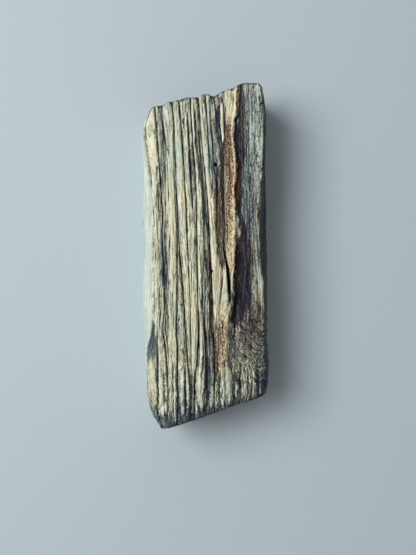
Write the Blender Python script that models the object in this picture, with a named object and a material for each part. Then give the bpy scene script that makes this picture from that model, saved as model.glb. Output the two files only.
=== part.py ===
"""A short stick of palo santo: a split billet of resinous wood, cut at a slant at both ends
and weathered into long ridges and grooves.

Metres, +Z up. The grain runs along Y and the weathered face looks up. The origin lies on the
surface that the stick rests on, under the middle of its bounding box.
"""

import bmesh
import bpy
import numpy as np

MM = 0.001

# Driving sizes, in millimetres.
TOP = 24.0  # height of the ridges of the weathered face above the underside
EDGE_RADIUS = 1.3  # worn edges all round
FOOT_INSET = 1.2  # how far the side walls tuck in under the stick's widest level
END_LEAN = 0.9  # how far each end face draws in on its way down to the underside
WIDEST_LEVEL = 0.45  # share of the height at which the side walls bulge most

# The faceted grid: steps between neighbouring grain lines, along the grain and down the walls.
STEPS_PER_GAP = 2
STEPS_ALONG = 48
STEPS_DOWN = 7
CREST_ROUNDNESS = 0.6  # 0 gives straight flanks between a groove and a ridge, 1 full round crests
FIT_PASSES = 4  # an end's place depends on x and x on the place, so both are found in passes

# The lines that the grain runs in across the weathered face, from left to right. Each station is
# (y, x, height above TOP) in millimetres, from the upper end down to the lower one.
GRAIN_LINES = {
    "left_rim": [
        (43, -15.6, -1.8), (38, -17.1, -1.6), (30, -16.8, -1.2), (21, -15.7, -1.0),
        (14, -14.9, -0.8), (-16, -14.9, -0.8), (-22, -15.4, -0.9), (-27, -16.6, -1.2),
        (-36, -16.7, -1.3), (-42, -16.4, -1.6), (-46, -15.0, -2.2), (-50, -13.0, -3.4),
    ],
    "left_shelf": [
        (43, -15.0, -1.2), (37, -15.6, -0.7), (28, -14.9, -0.6), (18, -14.1, -0.6),
        (0, -13.9, -0.7), (-14, -13.7, -0.7), (-21, -14.0, -0.7), (-28, -15.0, -0.8),
        (-38, -15.1, -0.7), (-44, -14.5, -1.2), (-49, -12.8, -2.6),
    ],
    "left_groove": [
        (43, -14.5, -1.6), (39, -14.3, -2.0), (33, -13.6, -2.0), (26, -13.1, -1.9),
        (19, -12.6, -2.1), (12, -12.1, -2.0), (5, -12.3, -2.4), (-1, -12.1, -2.7),
        (-8, -11.8, -2.1), (-14, -11.7, -1.7), (-21, -12.1, -1.5), (-26, -11.5, -1.5),
        (-34, -10.8, -1.6), (-42, -10.6, -1.7), (-49, -11.0, -2.9),
    ],
    "first_shoulder": [
        (44, -12.6, -1.0), (32, -11.9, -1.0), (20, -11.5, -0.6), (11, -11.1, -0.4),
        (3, -10.9, -0.7), (-5, -10.9, -0.8), (-13, -10.9, -0.4), (-22, -10.8, -0.5),
        (-34, -10.3, -0.5), (-44, -10.2, -0.9), (-49, -10.3, -2.2),
    ],
    "first_ridge": [
        (44, -10.8, -0.3), (36, -10.3, 0.0), (26, -9.8, 0.0), (10, -9.6, 0.1),
        (-10, -9.5, 0.1), (-38, -9.7, 0.0), (-45, -9.6, -0.6), (-49, -9.6, -2.0),
    ],
    "fork_groove": [
        (45, -10.2, -0.6), (38, -9.5, -0.6), (20, -8.8, -0.8), (9, -8.1, -1.0),
        (1, -8.0, -1.2), (-14, -8.0, -1.3), (-21, -8.3, -1.2), (-28, -8.0, -0.9),
        (-34, -8.4, -1.3), (-42, -8.0, -1.3), (-48, -8.0, -2.4),
    ],
    "fork_rib": [
        (45, -10.0, -0.9), (38, -9.3, -1.0), (20, -8.65, -1.2), (9, -7.9, -1.4),
        (3, -7.7, -1.0), (-5, -7.4, -0.2), (-20, -7.0, -0.1), (-32, -6.8, 0.0),
        (-41, -6.7, -0.1), (-46, -6.6, -0.8), (-49, -6.5, -2.0),
    ],
    "second_groove": [
        (45, -9.8, -1.1), (40, -9.2, -1.4), (30, -8.85, -1.3), (20, -8.45, -1.6),
        (10, -7.75, -1.8), (2, -7.3, -1.7), (-6, -6.7, -1.8), (-14, -6.0, -1.9),
        (-22, -5.5, -1.9), (-30, -5.0, -1.5), (-38, -4.3, -1.7), (-48, -4.2, -2.6),
    ],
    "second_ridge": [
        (45, -8.7, -0.2), (36, -8.0, 0.0), (16, -7.0, 0.1), (-4, -5.8, 0.1),
        (-14, -5.2, 0.0), (-24, -4.7, -0.1), (-34, -4.2, -0.3), (-41, -3.85, -0.6),
        (-48, -3.9, -2.1),
    ],
    "third_groove": [
        (45, -7.6, -1.2), (40, -7.1, -1.4), (32, -6.5, -1.4), (24, -6.0, -1.4),
        (15, -5.5, -1.1), (7, -5.2, -0.7), (-4, -4.7, -0.5), (-16, -4.2, -0.4),
        (-30, -3.9, -0.3), (-40, -3.65, -0.5), (-48, -3.7, -2.0),
    ],
    "third_ridge": [
        (46, -5.6, -0.2), (28, -5.0, -0.2), (14, -4.3, 0.0), (4, -3.7, 0.1),
        (-26, -3.3, 0.1), (-35, -3.3, 0.0), (-42, -3.4, -0.5), (-48, -3.5, -2.0),
    ],
    "fourth_groove": [
        (46, -4.2, -1.1), (40, -3.95, -1.3), (33, -3.5, -1.3), (27, -3.0, -1.3),
        (20, -2.55, -1.5), (6, -2.3, -1.5), (-3, -2.25, -1.0), (-12, -2.1, -0.7),
        (-19, -1.8, -1.1), (-26, -2.0, -1.4), (-31, -2.4, -1.5), (-36, -2.95, -1.5),
        (-47, -3.1, -2.3),
    ],
    "thin_ridge": [
        (46, -3.4, -0.2), (37, -3.2, 0.0), (30, -2.8, 0.2), (23, -2.15, 0.2),
        (15, -1.8, 0.2), (-2, -1.5, 0.0), (-14, -1.3, -0.1), (-23, -1.1, 0.0),
        (-37, -1.4, 0.1), (-44, -1.2, -0.5), (-48, -1.2, -2.0),
    ],
    "middle_shelf": [
        (46, -2.3, -0.5), (37, -2.0, -0.8), (27, -1.35, -0.9), (18, -0.6, -0.9),
        (8, -0.3, -0.7), (-12, -0.2, -0.4), (-20, -0.1, -0.8), (-26, 0.3, -1.4),
        (-35, 0.6, -1.7), (-41, 0.4, -1.3), (-47, 0.3, -2.2),
    ],
    "lower_rib": [
        (46, -2.1, -0.8), (37, -1.5, -1.1), (27, -0.7, -1.1), (18, 0.1, -1.2),
        (7, 0.7, -1.1), (-4, 1.2, -1.1), (-20, 1.5, -1.1), (-27, 1.6, -0.6),
        (-35, 1.9, -0.3), (-42, 2.0, -0.5), (-47, 2.0, -1.9),
    ],
    "step_groove": [
        (46, -1.9, -1.2), (40, -1.45, -1.5), (33, -0.9, -1.6), (27, -0.35, -1.6),
        (20, 0.4, -1.7), (12, 1.0, -1.7), (3, 1.4, -1.7), (-4, 1.8, -1.7),
        (-17, 2.3, -1.8), (-26, 2.65, -2.1), (-36, 2.75, -1.8), (-46, 2.7, -2.2),
    ],
    "long_ridge": [
        (46, -1.2, -0.1), (37, -0.7, 0.2), (29, 0.0, 0.3), (21, 0.9, 0.3),
        (13, 1.55, 0.3), (4, 2.05, 0.3), (-3, 2.4, 0.3), (-10, 3.0, 0.1),
        (-19, 3.2, 0.0), (-30, 3.35, -0.3), (-40, 3.3, -0.4), (-46, 3.3, -1.7),
    ],
    "brown_dip": [
        (46, 1.4, -0.4), (37, 1.5, -0.5), (28, 2.4, -0.7), (20, 3.3, -0.9),
        (10, 3.55, -1.0), (3, 3.7, -0.9), (-3, 3.9, -0.3), (-15, 3.7, -0.1),
        (-27, 3.75, -0.4), (-34, 3.9, -1.1), (-41, 3.9, -1.2), (-46, 3.9, -2.0),
    ],
    "dark_hollow": [
        (46, 2.6, -1.1), (41, 3.15, -1.5), (35, 3.8, -1.6), (29, 4.6, -1.5),
        (10, 4.9, -1.5), (2, 4.9, -1.2), (-5, 5.1, -0.4), (-12, 4.4, -0.4),
        (-27, 4.4, -0.3), (-35, 4.8, 0.0), (-41, 4.9, -0.3), (-45, 5.0, -1.5),
    ],
    "split": [
        (47, 4.9, -0.2), (42, 5.4, -0.4), (39, 5.7, -1.3), (33, 5.5, -1.6),
        (27, 5.35, -1.8), (8, 5.6, -1.9), (2, 5.5, -1.8), (-2, 6.1, -2.3),
        (-6, 6.8, -4.0), (-10, 7.05, -4.2), (-13, 7.05, -1.6), (-16, 6.6, -0.3),
        (-30, 5.2, -0.4), (-38, 5.8, -0.3), (-45, 6.0, -1.4),
    ],
    "resin_left": [
        (48, 6.2, 0.0), (32, 6.2, 0.0), (2, 6.5, 0.3), (-4, 7.2, 0.3),
        (-9, 7.6, 0.3), (-13, 7.4, 0.0), (-20, 6.4, 0.0), (-30, 6.1, 0.0),
        (-40, 7.2, 0.0), (-45, 7.3, -1.3),
    ],
    "resin_crest": [
        (48, 8.6, 0.0), (42, 8.6, 0.2), (37, 7.9, 0.3), (31, 8.2, 0.4),
        (26, 8.9, 0.5), (19, 8.2, 0.5), (0, 8.1, 0.5), (-9, 7.95, 0.4),
        (-14, 7.6, 0.0), (-18, 7.0, -0.2), (-30, 7.0, -0.6), (-36, 8.0, -1.5),
        (-44, 8.2, -1.8),
    ],
    "cliff_foot": [
        (48, 9.5, -1.3), (42, 9.3, -1.8), (37, 8.9, -2.0), (31, 9.1, -2.0),
        (26, 9.7, -2.0), (19, 9.1, -2.1), (10, 9.3, -1.7), (3, 9.0, -2.6),
        (-5, 8.7, -3.4), (-12, 8.7, -3.4), (-18, 8.3, -2.5), (-25, 8.3, -1.2),
        (-35, 9.1, -0.9), (-44, 9.2, -1.7),
    ],
    "hollow_floor": [
        (50, 11.2, -1.2), (40, 10.8, -1.9), (22, 10.8, -2.0), (11, 11.0, -1.7),
        (3, 11.0, -2.8), (-6, 10.9, -3.5), (-14, 10.6, -3.2), (-21, 10.4, -1.6),
        (-28, 10.6, -1.0), (-35, 10.2, -2.1), (-43, 10.3, -2.3),
    ],
    "hollow_side": [
        (50, 13.0, -0.9), (38, 12.8, -1.3), (10, 13.0, -1.4), (2, 13.2, -1.8),
        (-8, 13.2, -2.1), (-16, 13.0, -1.8), (-24, 12.8, -1.1), (-33, 12.4, -0.8),
        (-43, 11.8, -1.2),
    ],
    "right_shoulder": [
        (50, 15.0, -0.9), (28, 15.3, -0.9), (12, 14.6, -0.9), (-2, 15.0, -1.0),
        (-12, 15.5, -1.0), (-28, 15.2, -0.9), (-43, 14.4, -1.2),
    ],
    "right_rim": [
        (50, 16.4, -1.5), (45, 17.0, -1.3), (30, 17.1, -1.2), (22, 16.5, -1.0),
        (13, 15.9, -1.0), (4, 16.0, -1.0), (-3, 16.4, -1.1), (-9, 17.0, -1.2),
        (-28, 17.3, -1.4), (-36, 17.7, -1.7), (-43, 17.3, -2.2),
    ],
}

# The stick's widest outline, at WIDEST_LEVEL, as (y, x).
LEFT_OUTLINE = [
    (44, -15.6), (40, -17.6), (35, -19.1), (28, -19.0), (20, -19.3), (8, -19.2), (3, -18.4),
    (-3, -19.1), (-12, -19.1), (-20, -18.6), (-28, -18.1), (-36, -17.8), (-41, -17.7),
    (-45, -16.4), (-50, -13.3),
]
RIGHT_OUTLINE = [
    (50, 16.8), (47, 17.8), (42, 18.4), (25, 18.4), (0, 18.7), (-25, 18.8), (-31, 19.2),
    (-37, 19.2), (-43, 18.2),
]

# The slanted cuts at the two ends, as (x, y).
UPPER_END = [
    (-16.0, 42.3), (-14.8, 43.4), (-12.2, 43.7), (-10.0, 44.7), (-7.0, 45.4), (-4.5, 46.0),
    (-2.2, 45.9), (-0.5, 46.8), (0.6, 46.8), (2.5, 46.3), (4.5, 47.3), (6.5, 48.2),
    (8.0, 48.4), (10.0, 49.8), (12.0, 50.2), (15.0, 50.2), (17.5, 48.8),
]
LOWER_END = [
    (-13.6, -49.4), (-12.2, -50.2), (-8.0, -49.2), (-2.0, -47.2), (2.0, -45.7), (5.0, -44.7),
    (6.0, -44.1), (10.0, -42.8), (15.0, -41.2), (18.2, -39.9),
]


def run_through(stations, at):
    """A smooth curve through stations of (place, value), read at many places. It never overshoots."""
    place, value = np.array(sorted(stations), float).T
    step = np.diff(place)
    slope = np.diff(value) / step
    product = slope[:-1] * slope[1:]
    total = slope[:-1] + slope[1:]
    inner = np.where(product > 0, 2 * product / np.where(total == 0, 1, total), 0)
    tangent = np.concatenate([slope[:1], inner, slope[-1:]])
    at = np.clip(at, place[0], place[-1])
    left = np.clip(np.searchsorted(place, at, side="right") - 1, 0, len(step) - 1)
    t = (at - place[left]) / step[left]
    return (
        value[left] * (1 + 2 * t) * (1 - t) ** 2
        + value[left + 1] * t**2 * (3 - 2 * t)
        + tangent[left] * step[left] * t * (1 - t) ** 2
        - tangent[left + 1] * step[left] * t**2 * (1 - t)
    )


def line_values(column, y):
    """Each grain line's x (column 1) or height (column 2) at the lengthwise places y."""
    return np.array(
        [run_through([(s[0], s[column]) for s in line], y) for line in GRAIN_LINES.values()]
    )


def either_side(values, line):
    """Each point's value on the grain line to its left and on the next one to its right."""
    points = np.arange(len(line))
    return values[line, points], values[line + 1, points]


def weathered_face(line_number, y):
    """x and height in millimetres of the weathered face, for a fractional line number at y."""
    line = np.clip(np.floor(line_number).astype(int), 0, len(GRAIN_LINES) - 2)
    share = line_number - line
    x_left, x_right = either_side(line_values(1, y), line)
    z_left, z_right = either_side(line_values(2, y), line)
    rising = z_right > z_left
    from_low = np.where(rising, share, 1 - share)
    crest = CREST_ROUNDNESS * np.sin(from_low * np.pi / 2) + (1 - CREST_ROUNDNESS) * from_low
    low = np.minimum(z_left, z_right)
    high = np.maximum(z_left, z_right)
    return x_left + (x_right - x_left) * share, TOP + low + (high - low) * crest


def wall_x(rim, outline, up):
    """x of a side wall at the share up of its height: foot, widest level, then the rim."""
    foot = outline - np.sign(outline) * FOOT_INSET
    mid = WIDEST_LEVEL
    return (
        foot * (up - mid) * (up - 1) / mid
        + outline * up * (up - 1) / (mid * (mid - 1))
        + rim * up * (up - mid) / (1 - mid)
    )


def end_places(x, up):
    """y of the lower and the upper end at x, at the share up of the height."""
    lower = run_through(LOWER_END, x) + END_LEAN * (1 - up)
    upper = run_through(UPPER_END, x) - END_LEAN * (1 - up)
    return lower, upper


def narrow_end_steps(share, steps, size):
    """Squeezes the first and the last of a size's equal steps to the radius of the worn edges."""
    edge = EDGE_RADIUS / size
    return np.interp(share * steps, [0, 1, steps - 1, steps], [0, edge, 1 - edge, 1])


def worn_edges(share, sizes):
    """Pulls the points of a unit block of these sizes, given as shares, onto rounded edges."""
    half = np.array(sizes) / 2
    point = (share * 2 - 1) * half
    core = np.clip(point, EDGE_RADIUS - half, half - EDGE_RADIUS)
    out = point - core
    reach = np.linalg.norm(out, axis=1, keepdims=True)
    point = core + out * EDGE_RADIUS / np.maximum(reach, EDGE_RADIUS)
    return (point / half + 1) / 2


def shape_points(share):
    """Turns points of the unit block into points of the stick, in millimetres."""
    last = len(GRAIN_LINES) - 1
    nominal = line_values(1, np.zeros(1))[:, 0]
    width = nominal[-1] - nominal[0]
    length = UPPER_END[-1][1] - LOWER_END[0][1]
    across = (np.interp(share[:, 0] * last, np.arange(last + 1), nominal) - nominal[0]) / width
    along = narrow_end_steps(share[:, 1], STEPS_ALONG, length)
    up = narrow_end_steps(share[:, 2], STEPS_DOWN, TOP)
    across, along, up = worn_edges(np.stack([across, along, up], 1), (width, length, TOP)).T
    x = nominal[0] + across * width
    line_number = np.interp(x, nominal, np.arange(last + 1))
    for _ in range(FIT_PASSES):
        lower, upper = end_places(x, up)
        y = lower + (upper - lower) * along
        face_x, height = weathered_face(line_number, y)
        rim_left, rim_right = line_values(1, y)[[0, -1]]
        left = wall_x(rim_left, run_through(LEFT_OUTLINE, y), up)
        right = wall_x(rim_right, run_through(RIGHT_OUTLINE, y), up)
        x = left + (right - left) * (face_x - rim_left) / (rim_right - rim_left)
    return np.stack([x, y, height * up], 1)


def gridded_block():
    """A unit block with its faces cut into a grid, from -0.5 to 0.5 each way."""
    bm = bmesh.new()
    bmesh.ops.create_cube(bm, size=1.0)
    across = STEPS_PER_GAP * (len(GRAIN_LINES) - 1)
    for axis, steps in enumerate((across, STEPS_ALONG, STEPS_DOWN)):
        uncut = [e for e in bm.edges if abs(e.verts[0].co[axis] - e.verts[1].co[axis]) > 0.9]
        bmesh.ops.subdivide_edges(bm, edges=uncut, cuts=steps - 1)
    return bm


def join_underside(bm):
    """The flat underside becomes one face."""
    flat = [f for f in bm.faces if max(v.co.z for v in f.verts) < 1e-7]
    bmesh.ops.dissolve_faces(bm, faces=flat)


def wood_material():
    material = bpy.data.materials.new("weathered_palo_santo")
    material.use_nodes = True
    shader = material.node_tree.nodes["Principled BSDF"]
    shader.inputs["Base Color"].default_value = (0.36, 0.31, 0.22, 1.0)
    shader.inputs["Roughness"].default_value = 0.85
    shader.inputs["Metallic"].default_value = 0.0
    return material


def build_stick():
    bm = gridded_block()
    share = np.array([v.co for v in bm.verts]) + 0.5
    for vertex, point in zip(bm.verts, shape_points(share)):
        vertex.co = point * MM
    join_underside(bm)
    bmesh.ops.recalc_face_normals(bm, faces=bm.faces)
    mesh = bpy.data.meshes.new("stick")
    bm.to_mesh(mesh)
    bm.free()
    mesh.shade_smooth()
    mesh.set_sharp_from_angle(angle=np.radians(50))
    mesh.materials.append(wood_material())
    stick = bpy.data.objects.new("stick", mesh)
    bpy.context.scene.collection.objects.link(stick)


def main():
    for obj in list(bpy.data.objects):
        bpy.data.objects.remove(obj)
    build_stick()


main()
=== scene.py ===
"""A weathered stick of palo santo, modelled over its plain solid, with loose fibres and a stage.

The grain runs along Y and the weathered face looks up. Places on that face are written in
millimetres, x to the right and y along the grain, from the middle of the stick.
"""

import bmesh
import bpy
import numpy as np
from bpy.props import FloatProperty, FloatVectorProperty, IntProperty, PointerProperty
from mathutils import Matrix, Vector, noise


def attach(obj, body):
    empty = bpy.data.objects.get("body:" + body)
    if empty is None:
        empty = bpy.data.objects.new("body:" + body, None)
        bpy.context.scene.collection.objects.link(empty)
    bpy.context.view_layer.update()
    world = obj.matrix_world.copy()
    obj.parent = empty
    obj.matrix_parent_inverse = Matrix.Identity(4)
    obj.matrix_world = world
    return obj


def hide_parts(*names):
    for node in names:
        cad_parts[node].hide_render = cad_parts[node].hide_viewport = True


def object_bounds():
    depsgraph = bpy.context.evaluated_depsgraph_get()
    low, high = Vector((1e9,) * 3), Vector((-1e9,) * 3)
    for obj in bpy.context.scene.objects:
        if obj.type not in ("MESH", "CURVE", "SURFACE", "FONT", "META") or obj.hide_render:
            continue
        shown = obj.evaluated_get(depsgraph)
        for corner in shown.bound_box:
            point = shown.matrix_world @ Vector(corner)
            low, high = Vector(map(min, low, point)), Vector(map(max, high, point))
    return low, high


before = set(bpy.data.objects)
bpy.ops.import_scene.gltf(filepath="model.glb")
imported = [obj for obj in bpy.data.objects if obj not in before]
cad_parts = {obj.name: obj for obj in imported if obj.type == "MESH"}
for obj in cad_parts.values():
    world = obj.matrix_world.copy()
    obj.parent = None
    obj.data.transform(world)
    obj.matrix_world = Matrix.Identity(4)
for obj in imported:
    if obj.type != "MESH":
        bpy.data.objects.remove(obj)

bl_info = {
    "name": "Palo Santo Stick",
    "version": (1, 0, 0),
    "blender": (4, 5, 0),
    "location": "3D View > Sidebar > Palo Santo",
    "description": "Models a weathered stick of palo santo with loose fibres, on a pale stage",
    "category": "Add Mesh",
}

CAD_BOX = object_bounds()
MM = 0.001

# The grid of the modelled skin. Columns follow the grain lines, rows go along the stick and
# levels go up its walls. The first few steps at each end of a size lie in its worn edge.
COLUMNS_PER_MM = 5.0
FEWEST_COLUMNS = 4
ROWS = 296
LEVELS = 20
EDGE_STEPS = 4
UNDERSIDE_ROW_STEP = 8  # the underside keeps every eighth row
FIT_PASSES = 4  # an end's place depends on x and x on the place, so both are found in passes

# The wear of the skin, in millimetres.
RAGGED = 0.16  # how far the ribs' edges stray from the grain lines
CRUMBLING_X = 8.6  # the edge of the resin, which crumbles most
FRAYED_Y = -24  # below this the wood is frayed
GROOVED_UNDERSIDE = (18, 45)  # half the width and length of its grooved part

# Loose splinters: the areas they lie in, each (share of them, from and to a grain line's number,
# from and to y), and the ranges of their length, width, thickness, skew and lift.
FIBRE_STEPS = 6
FIBRE_AREAS = [
    (0.3, 24.2, 25.8, 5, 46), (0.4, 1.5, 12.0, -44, 40), (0.3, 12.0, 17.0, -42, 43),
]
FIBRE_RANGES = [(2.0, 7.0), (0.1, 0.2), (0.1, 0.16), (-0.04, 0.04), (-0.3, 0.3)]
FIBRE_GAP = 0.05  # between a splinter's lower end and the face

# The stage, in metres. The view's height is what the picture shows at the level of the ridges.
FLOOR_HALF = 0.9
WINDOW_PLACE = (-0.36, 0.13, 0.57)
WINDOW_SIZE = 0.42
WINDOW_POWER = 4.2  # watts
ROOM_LIGHT = 0.3
SENSOR = 36.0
CAMERA_DISTANCE = 0.24
VIEW_HEIGHT = 0.1594
VIEW_CENTRE = (0.00087, -0.00609)

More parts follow.
